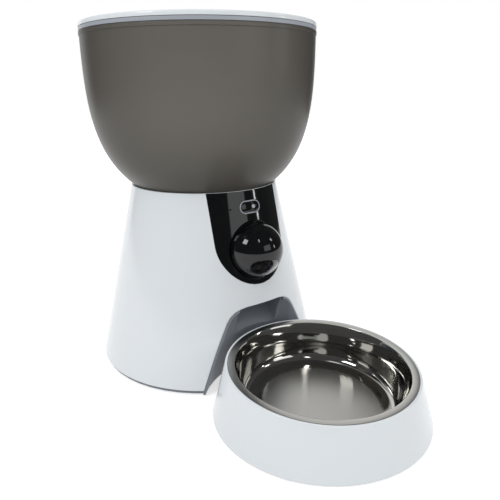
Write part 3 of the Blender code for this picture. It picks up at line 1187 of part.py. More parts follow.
def make_bowl(axis, steel):
    """A spun steel bowl: flat flange, steep wall, wide bend and flat floor. It leans with its seat."""
    wall_top = BOWL_RADIUS - BOWL_FLANGE_WIDTH
    bend_top = (wall_top - BOWL_WALL_LEAN, -BOWL_DEPTH / 2)
    inside = [(BOWL_RADIUS, BOWL_SHEET), (wall_top, BOWL_SHEET)]
    inside += [(wall_top - BOWL_SHEET, 0)]
    handle = (bend_top[0] - BOWL_WALL_LEAN, -BOWL_DEPTH)
    inside += curve_points(bend_top, handle, handle, (BOWL_FLOOR_RADIUS, -BOWL_DEPTH), CURVE_STEPS - 1)
    inside += [(0, -BOWL_DEPTH)]
    outside = shifted(inside, BOWL_SHEET)
    outside[0] = (BOWL_RADIUS, 0)
    outside[-1] = (0, -BOWL_DEPTH - BOWL_SHEET)
    seat = (0, 0, STAND_SEAT_Z + SEAT_GAP)
    make_object("steel_bowl", turned(inside + outside[::-1]), steel, axis, seat, (radians(BOWL_TILT), 0, 0))


def main():
    clear_scene()
    white = make_material("white_plastic", (0.80, 0.81, 0.83), 0.25)
    grey = make_material("grey_plastic", (0.20, 0.21, 0.22), 0.45)
    band_grey = make_material("pale_grey_plastic", (0.50, 0.52, 0.55), 0.4)
    smoke = make_material("smoke_plastic", (0.10, 0.09, 0.08), 0.4, 0.0, 0.8)
    black = make_material("black_gloss", (0.006, 0.006, 0.007), 0.06)
    dark = make_material("black_plastic", (0.02, 0.02, 0.02), 0.5)
    glass = make_material("lens_glass", (0.01, 0.01, 0.015), 0.03)
    light = make_material("light_guide", (0.55, 0.56, 0.58), 0.35)
    steel = make_material("steel", (0.62, 0.61, 0.59), 0.18, 1.0)
    rubber = make_material("rubber", (0.05, 0.05, 0.05), 0.8)
    board = make_material("circuit_board", (0.02, 0.16, 0.07), 0.5)
    nylon = make_material("gear_nylon", (0.75, 0.73, 0.68), 0.5)
    clear = make_material("silicone", (0.6, 0.6, 0.6), 0.6)

    tower = make_empty("tower_axis", (0, TOWER_Y, 0))
    door = make_empty("doorway_axis", (0, -DOORWAY_DISTANCE, 0), tower)
    bowl = make_empty("bowl_axis", (0, -BOWL_DISTANCE, 0), tower)
    pivot = make_empty("camera_pivot", (0, -CAMERA_REACH, CAMERA_Z), tower)

    make_tower_shell(tower, door, white)
    make_base_plate(tower, door, grey)
    make_base_fittings(tower, rubber, steel)
    make_doorway_liner(tower, door, grey)
    make_front_panel(tower, black)
    make_button(tower, black, light)
    make_button_board(tower, board, dark, grey)
    make_camera_socket(pivot, tower, dark)
    make_camera_arm(pivot, dark, steel)
    make_camera_ball(pivot, black, glass, dark, board)
    make_chute(tower, door, grey)
    make_well(tower, grey, steel)
    make_portion_parts(tower, grey)
    make_rotor(tower, rubber, grey, steel)
    make_gear_case(tower, grey, steel)
    make_gears(tower, nylon, steel)
    make_motor(tower, steel, dark)
    make_electronics(tower, board, steel, dark)
    make_hopper(tower, smoke)
    make_lid(tower, white, band_grey, clear, grey)
    make_stand(bowl, white, rubber)
    make_bowl(bowl, steel)


main()
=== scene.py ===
# %% [markdown]
# # Pet feeder with camera
#
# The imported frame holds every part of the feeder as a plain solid. This script dresses it: the pieces that
# show are modelled again with smooth curves and soft edges, and every piece gets a surface of its own.
# Each new piece rides on the body of the frame that it belongs to, so that it moves with it.

# %% Load the frame
from math import atan, cos, pi, radians, sin, sqrt, tan

import bmesh
import bpy
from mathutils import Matrix, Vector


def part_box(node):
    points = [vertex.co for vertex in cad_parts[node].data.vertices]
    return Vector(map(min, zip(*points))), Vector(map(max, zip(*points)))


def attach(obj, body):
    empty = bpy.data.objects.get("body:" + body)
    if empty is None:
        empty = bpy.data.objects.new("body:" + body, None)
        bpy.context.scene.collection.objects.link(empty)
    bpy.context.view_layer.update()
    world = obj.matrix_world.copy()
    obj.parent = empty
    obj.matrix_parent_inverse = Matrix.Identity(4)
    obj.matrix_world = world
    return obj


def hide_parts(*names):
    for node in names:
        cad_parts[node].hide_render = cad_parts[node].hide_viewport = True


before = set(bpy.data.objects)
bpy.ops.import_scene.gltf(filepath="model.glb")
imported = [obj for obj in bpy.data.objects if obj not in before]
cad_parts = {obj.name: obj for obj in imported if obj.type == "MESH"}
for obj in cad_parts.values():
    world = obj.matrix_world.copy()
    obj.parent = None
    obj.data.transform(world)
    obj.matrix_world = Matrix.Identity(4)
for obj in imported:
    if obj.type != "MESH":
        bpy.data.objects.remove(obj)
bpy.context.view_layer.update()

# %% [markdown]
# ## Sizes
#
# The upright axes come from the frame. The other sizes are those of the part, in metres, so that each new
# piece lies where its plain solid lies. Angles are in degrees.

# %% Sizes
hopper_low, hopper_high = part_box("hopper")
stand_low, stand_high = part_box("bowl_stand")
TOWER_Y = (hopper_low.y + hopper_high.y) / 2
BOWL_Y = (stand_low.y + stand_high.y) / 2
GAP = 0.0003
RUNNING_GAP = 0.0008
OVERRUN = 0.002
SOFT_EDGE = 0.0003
MERGE_DISTANCE = 0.000002
SMOOTH_ANGLE = 32
STEPS = 192

TOWER_HEIGHT = 0.170
SHELL_FOOT_RADIUS = 0.1062
SHELL_FOOT_Z = 0.0045
SHELL_TOP_RADIUS = 0.0684
SHELL_WALL = 0.0026
SHELL_FOOT_ROUND = 0.0008
TOP_RIM_WALL = 0.0022
TOP_RIM_OUTER_ROUND = 0.0006
TOP_RIM_INNER_ROUND = 0.0004
DECK_TOP = 0.165
DECK_THICKNESS = 0.0026
WELL_MOUTH_RADIUS = 0.0502
INLET_HOLE_RADIUS = 0.0049
INLET_Z = 0.0125
ON_CONE_TOLERANCE = 0.00008

DOOR_Y = TOWER_Y - 0.150
DOORWAY_FOOT_RADIUS = 0.0894
DOORWAY_TAPER_SHARE = 0.28
DOORWAY_HEIGHT = 0.0705
DOORWAY_FILLET = 0.014
LINER_WALL = 0.002
LINER_LOW = 0.0014

PANEL_HALF_WIDTH = 0.0365
PANEL_LOW = 0.0896
PANEL_THICKNESS = 0.0014
PANEL_SOFT_EDGE = 0.00025
BUTTON_Z = 0.156
BUTTON_LENGTH = 0.0216
BUTTON_HEIGHT = 0.0111
BUTTON_RING_WIDTH = 0.0008
BUTTON_RING_PROUD = 0.0001
BUTTON_RING_SOFT_EDGE = 0.0002
BUTTON_DEPTH = 0.0040
LIGHT_RADIUS = 0.0017
LIGHT_SIDE = 0.0035
LIGHT_DEPTH = 0.0016
LIGHT_GAP = 0.0001
LIGHT_PROUD = 0.00005
MIC_SIDE = 0.0196
MIC_RADIUS = 0.0010
CAMERA_Z = 0.1187
BALL_SET_BACK = 0.0026
BALL_RADIUS = 0.025
BALL_WALL = 0.0022
ARM_SLOT_WIDTH = 0.0104
ARM_SLOT_HALF_LENGTH = 0.0149
ARM_SLOT_CORNER = 0.002
ARM_SLOT_ANGLE = 10
CAMERA_LOOKS_DOWN = 30
WINDOW_RADIUS = 0.0092
WINDOW_THICKNESS = 0.0015
WINDOW_EDGE = 0.001

CHUTE_HALF_WIDTH = 0.0235
CHUTE_WALL = 0.002
CHUTE_CORNER = 0.0075
CHUTE_TOP = 0.1319
OUTLET_FRONT = 0.0455
OUTLET_BACK = 0.0215
CHUTE_FRONT_SHARES = ((0.0, 0.826), (0.033, 0.762), (0.377, 0.690), (1.0, 0.564))
CHUTE_BACK_SHARES = ((0.0, 0.876), (0.143, 0.699), (0.462, 0.466), (0.911, 0.185))

HOPPER_TOP_Z = 0.3006
HOPPER_RADIUS = 0.1035
HOPPER_WALL = 0.0025
HOPPER_LIP_HEIGHT = 0.0031
HOPPER_LIP_STEP = 0.0005
HOPPER_LIP_ROUND = 0.0005
HOPPER_STEP_ROUND = 0.0003
HOPPER_FOOT_WALL = 0.0032
HOPPER_FLOOR = 0.0022
HOPPER_SHOULDER_SHARE = 0.44
HOPPER_WAIST_SHARE = 0.355
HOPPER_FOOT_ANGLE = 40
NECK_RADIUS = 0.0496
NECK_WALL = 0.0024
NECK_LOW = 0.1372
LEDGE_TOP = 0.2909
LEDGE_HEIGHT = 0.0014
LEDGE_REACH = 0.0022
LEDGE_HALF_ANGLE = 11

LID_LOW = 0.3041
LID_THICKNESS = 0.0037
LID_CROWN = 0.001
LID_EDGE_ROUND = 0.0018
LID_LOWER_ROUND = 0.0004
LID_SHEET = 0.0028
SPIGOT_WALL = 0.002
BAND_LOW = 0.3009
BAND_HEIGHT = 0.0029
BAND_RADIUS = 0.1032
BAND_ROUND = 0.0003
SKIRT_RADIUS = 0.0989
SKIRT_WALL = 0.0022
SKIRT_DEPTH = 0.0059
SEAL_GROOVE_DROP = 0.0012
SEAL_GROOVE_HEIGHT = 0.003
SEAL_GROOVE_DEPTH = 0.0013
TAB_HALF_ANGLE = 7.5
TAB_SHIFT_ANGLE = 3.5

STAND_LOW = 0.0012
STAND_FOOT_RADIUS = 0.0885
STAND_RIM_RADIUS = 0.0775
STAND_HEIGHT = 0.0432
STAND_WALL = 0.0026
STAND_LIP_WIDTH = 0.0018
STAND_FOOT_WIDTH = 0.004
STAND_FOOT_ROUND = 0.0008
STAND_RIM_ROUND = 0.0010
STAND_LIP_ROUND = 0.0005
STAND_SEAT_DEPTH = 0.0012
STAND_SEAT_WIDTH = 0.0045
STAND_FLANGE_WIDTH = 0.012
STAND_FLANGE_THICKNESS = 0.0022
BOWL_TILT = 3.3
BOWL_RADIUS = 0.0754
BOWL_SHEET = 0.0009
BOWL_DEPTH = 0.033
BOWL_FLANGE_WIDTH = 0.0055
BOWL_FLOOR_RADIUS = 0.050
BOWL_WALL_LEAN = 0.0035
BOWL_GROOVE_OUT = 0.0012
BOWL_GROOVE_IN = 0.0008

FRONT_TILT = atan((SHELL_FOOT_RADIUS - SHELL_TOP_RADIUS) / (TOWER_HEIGHT - SHELL_FOOT_Z))
SEAT_Z = STAND_HEIGHT - STAND_SEAT_DEPTH


def cone_radius(z, inset=0.0):
    """Radius of the white cone at a height."""
    return SHELL_FOOT_RADIUS - tan(FRONT_TILT) * (z - SHELL_FOOT_Z) - inset


CAMERA_REACH = cone_radius(CAMERA_Z) - BALL_SET_BACK
print("tower axis at y", round(TOWER_Y, 4), "bowl axis at y", round(BOWL_Y, 4))

# %% [markdown]
# ## Writing shaders as sums
#
# A finish is a tree of nodes. Wire holds the output of one node and lets it be added, multiplied and so on
# like a number. Nodes makes the nodes, for a material or for the world, and Finish feeds the surface shader
# of a material.


# %% Wire, Nodes and Finish
class Wire:
    """The output of a node, usable in sums."""

    def __init__(self, finish, socket):
        self.finish = finish
        self.socket = socket

    def sum(self, name, other, turned_round=False):
        first, second = (other, self) if turned_round else (self, other)
        kinds = [side.socket.type for side in (first, second) if isinstance(side, Wire)]
        if "RGBA" in kinds:
            settings = {"data_type": "RGBA", "blend_type": name}
            return self.finish.node("ShaderNodeMix", settings, {0: 1.0, 6: first, 7: second}, 2)
        kind = "ShaderNodeVectorMath" if "VECTOR" in kinds else "ShaderNodeMath"
        return self.finish.node(kind, {"operation": name}, {0: first, 1: second})

    def __add__(self, other):
        return self.sum("ADD", other)

    def __radd__(self, other):
        return self.sum("ADD", other, True)

    def __sub__(self, other):
        return self.sum("SUBTRACT", other)

    def __rsub__(self, other):
        return self.sum("SUBTRACT", other, True)

    def __mul__(self, other):
        return self.sum("MULTIPLY", other)

    def __rmul__(self, other):
        return self.sum("MULTIPLY", other, True)

    def __truediv__(self, other):
        return self.sum("DIVIDE", other)

    def __rtruediv__(self, other):
        return self.sum("DIVIDE", other, True)


class Nodes:
    """The nodes of a material or of the world."""

    def __init__(self, owner):
        owner.use_nodes = True
        self.tree = owner.node_tree

    def node(self, kind, settings=None, inputs=None, output=0):
        made = self.tree.nodes.new(kind)
        for name, value in (settings or {}).items():
            setattr(made, name, value)
        for socket, value in (inputs or {}).items():
            if isinstance(value, Wire):
                self.tree.links.new(value.socket, made.inputs[socket])
            else:
                made.inputs[socket].default_value = value
        return Wire(self, made.outputs[output])

    def seen(self):
        """1 for a ray from the camera, from a mirror or through glass, and 0 for light on other things."""
        rays = self.node("ShaderNodeLightPath").socket.node.outputs
        seen = Wire(self, rays["Is Camera Ray"])
        for name in ("Is Glossy Ray", "Is Transmission Ray"):
            pair = {0: seen, 1: Wire(self, rays[name])}
            seen = self.node("ShaderNodeMath", {"operation": "MAXIMUM"}, pair)
        return seen


class Finish(Nodes):
    """A material with one surface shader. Settings that don't vary are set on the shader itself."""

    def __init__(self, name, settings):
        self.material = bpy.data.materials.new(name)
        super().__init__(self.material)
        self.shader = self.tree.nodes["Principled BSDF"]
        for socket, value in settings.items():
            self.shader.inputs[socket].default_value = value
        self.place = self.node("ShaderNodeTexCoord", output="Object")

    def feed(self, socket, wire):
        self.tree.links.new(wire.socket, self.shader.inputs[socket])

    def noise(self, scale, detail=2.0, place=None):
        """Soft cloudy variation, from about 0.3 to 0.7, at so many patches a metre."""
        inputs = {"Vector": place or self.place, "Scale": scale, "Detail": detail}
        return self.node("ShaderNodeTexNoise", inputs=inputs)

    def blend(self, share, first, second):
        """A colour between two, by a share from 0 to 1."""
        inputs = {0: share, 6: (*first, 1), 7: (*second, 1)}
        return self.node("ShaderNodeMix", {"data_type": "RGBA"}, inputs, 2)

    def bump(self, height, distance, strength=1.0):
        inputs = {"Height": height, "Distance": distance, "Strength": strength}
        self.feed("Normal", self.node("ShaderNodeBump", inputs=inputs))


def moulded(name, colour, roughness, spread=0.03, grain=0.0, others=None):
    """Moulded plastic: the colour and gloss vary a little, and a grain can be pressed into it."""
    finish = Finish(name, {"Roughness": roughness, **(others or {})})
    clouds = finish.noise(18.0)
    darker = tuple(part * (1 - spread) for part in colour)
    lighter = tuple(min(part * (1 + spread), 1.0) for part in colour)
    finish.feed("Base Color", finish.blend(clouds, darker, lighter))
    finish.feed("Roughness", finish.noise(60.0) * (0.2 * roughness) + 0.9 * roughness)
    if grain:
        finish.bump(finish.noise(2500.0, 1.0), grain)
    return finish.material


print("shader tools ready")

# %% [markdown]
# ## Plastics
#
# The case is glossy white plastic, cool in tone. The chute and the doorway are satin grey, the band under
# the lid is a paler grey, and the front panel, the button and the ball are polished black.

# %% Plastics
gloss_white = moulded("gloss white plastic", (0.76, 0.80, 0.83), 0.16, 0.01)
satin_grey = moulded("satin grey plastic", (0.20, 0.22, 0.25), 0.42, 0.03, 0.00002)
pale_grey = moulded("pale grey plastic", (0.36, 0.39, 0.43), 0.35, 0.02)
gloss_black = moulded("gloss black plastic", (0.003, 0.0035, 0.004), 0.07, 0.1)
matt_black = moulded("matt black plastic", (0.018, 0.018, 0.020), 0.5, 0.1, 0.00002)
light_guide = moulded("frosted light guide", (0.42, 0.44, 0.46), 0.4, 0.02)
black_rubber = moulded("black rubber", (0.022, 0.022, 0.022), 0.75, 0.15, 0.00004)
silicone = moulded("pale silicone", (0.62, 0.63, 0.62), 0.5, 0.03)
gear_nylon = moulded("natural nylon", (0.72, 0.70, 0.62), 0.45, 0.04)


def make_smoke():
    """Smoked plastic, frosted by its mould: a little of the inside shows through, less towards the edges,
    where its colour is also painted darker as painted shade.
    """
    finish = Finish("smoked plastic", {"IOR": 1.45, "Specular IOR Level": 0.3})
    clouds = finish.blend(finish.noise(9.0, 1.0), (0.165, 0.153, 0.134), (0.195, 0.183, 0.162))
    edge_shade_and_opacity = finish.node("ShaderNodeLayerWeight", inputs={"Blend": 0.5}, output=1)
    # painted shade: the colour is blended towards near black where the side turns away from the view, so the
    # edges are darkened
    share = {0: edge_shade_and_opacity, 6: clouds, 7: (0.030, 0.026, 0.020, 1)}
    finish.feed("Base Color", finish.node("ShaderNodeMix", {"data_type": "RGBA"}, share, 2))
    finish.feed("Alpha", edge_shade_and_opacity * 0.24 + 0.74)
    finish.feed("Roughness", finish.noise(45.0) * 0.08 + 0.28)
    return finish.material


smoke = make_smoke()
print("plastics made:", len(bpy.data.materials))

# %% [markdown]
# ## Metals, glass and the circuit board
#
# The bowl is one sheet of stainless steel. Its wall is polished, and its flat floor and flange keep the
# fine rings of the brush that turned on them.


# %% Metals, glass and board
def make_bowl_steel():
    finish = Finish("bowl steel", {"Metallic": 1.0})
    spot = finish.node("ShaderNodeSeparateXYZ", inputs={0: finish.place})
    across = Wire(finish, spot.socket.node.outputs["X"])
    along = Wire(finish, spot.socket.node.outputs["Y"]) - BOWL_Y
    radius = finish.node("ShaderNodeMath", {"operation": "SQRT"}, {0: across * across + along * along})
    rings = finish.node("ShaderNodeTexNoise", {"noise_dimensions": "1D"}, {"W": radius, "Scale": 2600.0})
    limits = {"From Min": BOWL_FLOOR_RADIUS + 0.001, "From Max": BOWL_FLOOR_RADIUS - 0.003}
    on_floor = finish.node("ShaderNodeMapRange", inputs={"Value": radius, **limits})
    flange_start = BOWL_RADIUS - BOWL_FLANGE_WIDTH
    limits = {"From Min": flange_start - 0.0005, "From Max": flange_start + 0.0005}
    brushed = on_floor + finish.node("ShaderNodeMapRange", inputs={"Value": radius, **limits})
    finish.feed("Roughness", brushed * (rings * 0.10 + 0.22) + 0.06)
    finish.feed("Base Color", finish.blend(rings, (0.48, 0.475, 0.45), (0.56, 0.555, 0.53)))
    finish.bump(rings * brushed, 0.00001)
    return finish.material


def metal(name, colour, roughness, grain):
    finish = Finish(name, {"Metallic": 1.0})
    clouds = finish.noise(grain, 3.0)
    lighter = tuple(min(part * 1.15, 1.0) for part in colour)
    finish.feed("Base Color", finish.blend(clouds, colour, lighter))
    finish.feed("Roughness", clouds * 0.2 + roughness)
    return finish.material


def make_lens_glass():
    """Dark coated glass: nearly black, with a faint violet sheen that varies over it."""
    finish = Finish("coated lens glass", {"Roughness": 0.03, "Coat Weight": 1.0, "Coat Roughness": 0.02})
    clouds = finish.noise(120.0)
    finish.feed("Base Color", finish.blend(clouds, (0.004, 0.004, 0.006), (0.010, 0.008, 0.016)))
    return finish.material


def make_circuit_board():
    """Green solder mask with faint copper tracks under it."""
    finish = Finish("circuit board", {"Roughness": 0.35})
    cells = finish.node("ShaderNodeTexBrick", inputs={"Vector": finish.place, "Scale": 160.0})
    tracks = Wire(finish, cells.socket.node.outputs[1])
    finish.feed("Base Color", finish.blend(tracks, (0.010, 0.070, 0.030), (0.030, 0.120, 0.050)))
    return finish.material


bowl_steel = make_bowl_steel()
screw_steel = metal("zinc plated steel", (0.55, 0.56, 0.58), 0.25, 300.0)
motor_metal = metal("drawn motor can", (0.42, 0.42, 0.43), 0.30, 90.0)
lens_glass = make_lens_glass()
circuit_board = make_circuit_board()
print("metals and others made:", len(bpy.data.materials))

# %% [markdown]
# ## Finishes for the pieces of the frame that stay
#
# The inner parts keep their solids. Each gets the finish that belongs to its material slot.

# %% Dress the solids that stay
FINISHES = {
    "white_plastic": gloss_white,
    "grey_plastic": satin_grey,
    "pale_grey_plastic": pale_grey,
    "smoke_plastic": smoke,
    "black_gloss": gloss_black,
    "black_plastic": matt_black,
    "lens_glass": lens_glass,
    "light_guide": light_guide,
    "bowl_steel": bowl_steel,
    "steel": screw_steel,
    "motor_metal": motor_metal,
    "rubber": black_rubber,
    "silicone": silicone,
    "circuit_board": circuit_board,
    "gear_nylon": gear_nylon,
}
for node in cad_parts.values():
    for place in node.material_slots:
        place.material = FINISHES[place.material.name.split(".")[0]]
print("solids dressed:", len(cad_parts))

# %% [markdown]
# ## Modelling tools
#
# Round pieces are drawn as one side from a single vertex and spun round their axis. Holes are cut with
# boolean modifiers that are applied at once. A cut leaves long thin faces, and light shows them as streaks
# on a glossy round side. shade_like clears them: it copies the shading of a clean, uncut side with a Data
# Transfer modifier.


# %% Modelling tools
def only(piece):
    bpy.ops.object.select_all(action="DESELECT")
    piece.select_set(True)
    bpy.context.view_layer.objects.active = piece


def open_edit(piece):
    only(piece)
    bpy.ops.object.mode_set(mode="EDIT")
    bpy.ops.mesh.select_all(action="SELECT")


def close_edit():
    bpy.ops.object.mode_set(mode="OBJECT")


def name_piece(name):
    piece = bpy.context.object
    piece.name = name
    piece.data.name = name
    return piece


def softened(outline, share=0.5, steps=5):
    """Rounds the corners that carry a third number, the length that the round takes of each side."""
    points = []
    for index, corner in enumerate(outline):
        if len(corner) == 2:
            points.append(Vector(corner))
            continue
        here = Vector(corner[:2])
        before = Vector(outline[index - 1][:2]) - here
        after = Vector(outline[(index + 1) % len(outline)][:2]) - here
        start = here + before.normalized() * corner[2]
        end = here + after.normalized() * corner[2]
        for step in range(steps + 1):
            t = step / steps
            points.append(start * (1 - t) ** 2 + here * (2 * t * (1 - t)) + end * t**2)
    return points


def turned(name, outline, axis_y, steps=STEPS, start=0.0, sweep=360.0):
    """Draws one side, as (radius, height) corners, from a single vertex and spins it round its axis."""
    side = Vector((cos(radians(start)), sin(radians(start)), 0))
    points = [side * radius + Vector((0, axis_y, height)) for radius, height in softened(outline)]
    bpy.ops.object.select_all(action="DESELECT")
    bpy.ops.mesh.primitive_plane_add(size=0.01)
    piece = name_piece(name)
    open_edit(piece)
    bpy.ops.mesh.merge(type="CENTER")
    bpy.ops.transform.translate(value=points[0])
    for here, there in zip(points, points[1:]):
        bpy.ops.mesh.extrude_region_move(TRANSFORM_OT_translate={"value": there - here})
    bpy.ops.mesh.select_all(action="SELECT")
    bpy.ops.mesh.spin(steps=steps, angle=-radians(sweep), center=(0, axis_y, 0), axis=(0, 0, 1))
    bpy.ops.mesh.select_all(action="SELECT")
    bpy.ops.mesh.remove_doubles(threshold=MERGE_DISTANCE)
    if sweep < 360 and outline[0] == outline[-1]:
        bpy.ops.mesh.fill_holes(sides=0)
        bpy.ops.mesh.select_all(action="SELECT")
    bpy.ops.mesh.normals_make_consistent(inside=False)
    close_edit()
    return piece


def combine(piece, other, operation):
    """Cuts, trims or joins a piece with another shape, which is used up."""
    only(piece)
    step = piece.modifiers.new(operation.lower(), "BOOLEAN")
    step.operation = operation
    step.solver = "EXACT"
    step.object = other
    bpy.ops.object.modifier_apply(modifier=step.name)
    bpy.data.objects.remove(other, do_unlink=True)
    return piece


def cut(piece, other):
    return combine(piece, other, "DIFFERENCE")


def trim(piece, other):
    return combine(piece, other, "INTERSECT")


def join(piece, other):
    return combine(piece, other, "UNION")


def soften_edges(piece, width=SOFT_EDGE, steps=2, angle=40):
    """Rounds every sharp edge with a bevel modifier, applied at once."""
    only(piece)
    step = piece.modifiers.new("soft edges", "BEVEL")
    step.width = width
    step.segments = steps
    step.limit_method = "ANGLE"
    step.angle_limit = radians(angle)
    bpy.ops.object.modifier_apply(modifier=step.name)
    return piece


def shade_like(piece, guide, lies_on):
    """Where a cut piece still lies on a clean round side, it takes its shading from that side."""
    only(guide)
    bpy.ops.object.shade_smooth()
    only(piece)
    bpy.ops.object.shade_smooth_by_angle(angle=radians(SMOOTH_ANGLE))
    group = piece.vertex_groups.new(name="clean side")
    group.add([point.index for point in piece.data.vertices if lies_on(point.co)], 1.0, "REPLACE")
    step = piece.modifiers.new("clean shading", "DATA_TRANSFER")
    step.object = guide
    step.use_loop_data = True
    step.data_types_loops = {"CUSTOM_NORMAL"}
    step.loop_mapping = "POLYINTERP_NEAREST"
    step.vertex_group = group.name
    bpy.ops.object.modifier_apply(modifier=step.name)
    bpy.data.objects.remove(guide, do_unlink=True)
    piece["shaded"] = True


def dress(piece, finish, slot, body, *nodes):
    """Smooth shading, a finish, and the body and solids of the frame that the piece stands for."""
    only(piece)
    if not piece.get("shaded"):
        bpy.ops.object.shade_smooth_by_angle(angle=radians(SMOOTH_ANGLE))
    piece.data.materials.clear()
    piece.data.materials.append(finish)
    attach(piece, body)
    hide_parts(*nodes)
    print(piece.name, len(piece.data.polygons), "faces")
    return piece


def settle(piece, matrix):
    """Puts a shape drawn at the origin in its place, and keeps the place in its mesh."""
    piece.matrix_world = matrix
    only(piece)
    bpy.ops.object.transform_apply(location=True, rotation=True, scale=True)
    return piece


def choose(piece, kind, test):
    """In edit mode, selects the vertices, edges or faces whose middle passes a test."""
    mesh = bmesh.from_edit_mesh(piece.data)
    bpy.ops.mesh.select_mode(type=kind)
    bpy.ops.mesh.select_all(action="DESELECT")
    items = {"VERT": mesh.verts, "EDGE": mesh.edges, "FACE": mesh.faces}[kind]
    for item in items:
        corners = [item] if kind == "VERT" else item.verts
        middle = sum((corner.co for corner in corners), Vector()) / len(corners)
        if test(middle):
            item.select_set(True)
    mesh.select_flush_mode()
    bmesh.update_edit_mesh(piece.data)


def rounded_plate(name, length, height, corner, steps=12):
    """A flat plate in local X and Y, with its four corners rounded."""
    bpy.ops.object.select_all(action="DESELECT")
    bpy.ops.mesh.primitive_plane_add(size=1)
    piece = name_piece(name)
    open_edit(piece)
    bpy.ops.transform.resize(value=(length, height, 1))
    bpy.ops.mesh.bevel(offset=corner, segments=steps, affect="VERTICES")
    bpy.ops.mesh.select_all(action="SELECT")
    bpy.ops.mesh.remove_doubles(threshold=MERGE_DISTANCE)
    close_edit()
    return piece


def raised(name, length, height, corner, low, high):
    """A rounded plate with a thickness, from one local height to another."""
    piece = rounded_plate(name, length, height, corner)
    open_edit(piece)
    bpy.ops.transform.translate(value=(0, 0, low))
    bpy.ops.mesh.extrude_region_move(TRANSFORM_OT_translate={"value": (0, 0, high - low)})
    bpy.ops.mesh.select_all(action="SELECT")
    bpy.ops.mesh.normals_make_consistent(inside=False)
    close_edit()
    return piece


def drum(name, radius, low, high, steps=48):
    """A round cutter about local Z."""
    bpy.ops.object.select_all(action="DESELECT")
    bpy.ops.mesh.primitive_cylinder_add(vertices=steps, radius=radius, depth=high - low)
    piece = name_piece(name)
    open_edit(piece)
    bpy.ops.transform.translate(value=(0, 0, (low + high) / 2))
    close_edit()
    return piece


def on_cone(z, side=0.0):
    """A place on the front line of the cone: local Z points out of it and local Y up it."""
    place = Matrix.Translation((side, TOWER_Y - cone_radius(z), z))
    return place @ Matrix.Rotation(pi / 2 - FRONT_TILT, 4, "X")


print("modelling tools ready")

# %% [markdown]
# ## White cone of the tower
#
# The cone is one moulded shell. It is spun from a section with a soft foot and a soft top rim. The doorway
# is a second cone about its own axis, and the front panel sits in a shallow pocket. A real shell is moulded
# in one shot, so it is cut here from one solid too, and its edges are rounded last.


# %% Tower shell
def doorway_side(offset):
    """Outside of the doorway's space, grown by an offset, as half a section about its axis."""
    lean = atan(DOORWAY_TAPER_SHARE)
    foot = DOORWAY_FOOT_RADIUS + offset / cos(lean)
    top = DOORWAY_HEIGHT + offset
    corner = (DOORWAY_FILLET + offset) * tan((pi / 2 - lean) / 2)
    low = (foot + DOORWAY_TAPER_SHARE * OVERRUN, -OVERRUN)
    return [low, (foot - DOORWAY_TAPER_SHARE * top, top, corner)]


def doorway_space(offset):
    side = doorway_side(offset)
    return turned("doorway space", [(0, -OVERRUN)] + side + [(0, side[-1][1])], DOOR_Y)


def cone_space(inset, low, high):
    side = [(0, low), (cone_radius(low, inset), low), (cone_radius(high, inset), high), (0, high)]
    return turned("cone space", side, TOWER_Y)


def cone_layer(name, outer_inset, inner_inset, low, high):
    ring = [(cone_radius(low, outer_inset), low), (cone_radius(high, outer_inset), high)]
    ring += [(cone_radius(high, inner_inset), high), (cone_radius(low, inner_inset), low)]
    return turned(name, ring + ring[:1], TOWER_Y)


def panel_outline(grow):
    """The panel's U: an upright plate whose two lower corners are rounded until they meet."""
    half = PANEL_HALF_WIDTH + grow
    low, high = PANEL_LOW - grow, TOWER_HEIGHT + OVERRUN
    bpy.ops.object.select_all(action="DESELECT")
    place = (0, TOWER_Y - SHELL_TOP_RADIUS / 2, (low + high) / 2)
    bpy.ops.mesh.primitive_plane_add(size=1, rotation=(pi / 2, 0, 0), location=place)
    outline = name_piece("panel outline")
    settle(outline, outline.matrix_world.copy())
    open_edit(outline)
    bpy.ops.transform.resize(value=(2 * half, 1, high - low))
    choose(outline, "VERT", lambda middle: middle.z < (low + high) / 2)
    bpy.ops.mesh.bevel(offset=half, segments=32, affect="VERTICES")
    bpy.ops.mesh.select_all(action="SELECT")
    bpy.ops.mesh.remove_doubles(threshold=MERGE_DISTANCE)
    bpy.ops.mesh.extrude_region_move(TRANSFORM_OT_translate={"value": (0, -SHELL_FOOT_RADIUS, 0)})
    bpy.ops.mesh.select_all(action="SELECT")
    bpy.ops.mesh.normals_make_consistent(inside=False)
    close_edit()
    return outline


def cut_front_holes(piece, grow):
    """Holes for the button, the microphone and the ball."""
    deep = -3 * (PANEL_THICKNESS + SHELL_WALL)
    inner_length = BUTTON_LENGTH - 2 * BUTTON_RING_WIDTH + 2 * grow
    inner_height = BUTTON_HEIGHT - 2 * BUTTON_RING_WIDTH + 2 * grow
    pill = raised("pill", inner_length, inner_height, inner_height / 2, deep, OVERRUN)
    cut(piece, settle(pill, on_cone(BUTTON_Z)))
    cut(piece, settle(drum("mic", MIC_RADIUS, 2 * deep, OVERRUN, 24), on_cone(BUTTON_Z, -MIC_SIDE)))
    hole = drum("ball hole", BALL_RADIUS + RUNNING_GAP + GAP, -BALL_RADIUS, BALL_RADIUS, 128)
    place = Matrix.Translation((0, TOWER_Y - CAMERA_REACH, CAMERA_Z))
    cut(piece, settle(hole, place @ Matrix.Rotation(pi / 2 - FRONT_TILT, 4, "X")))


def cone_guide():
    """The clean side of the cone, as one spun line."""
    low, high = SHELL_FOOT_Z - OVERRUN, TOWER_HEIGHT + OVERRUN
    line = [(cone_radius(z), z) for z in (low, high)]
    return turned("cone guide", line, TOWER_Y, 2 * STEPS)


def on_the_cone(point):
    return abs(sqrt(point.x**2 + (point.y - TOWER_Y) ** 2) - cone_radius(point.z)) < ON_CONE_TOLERANCE


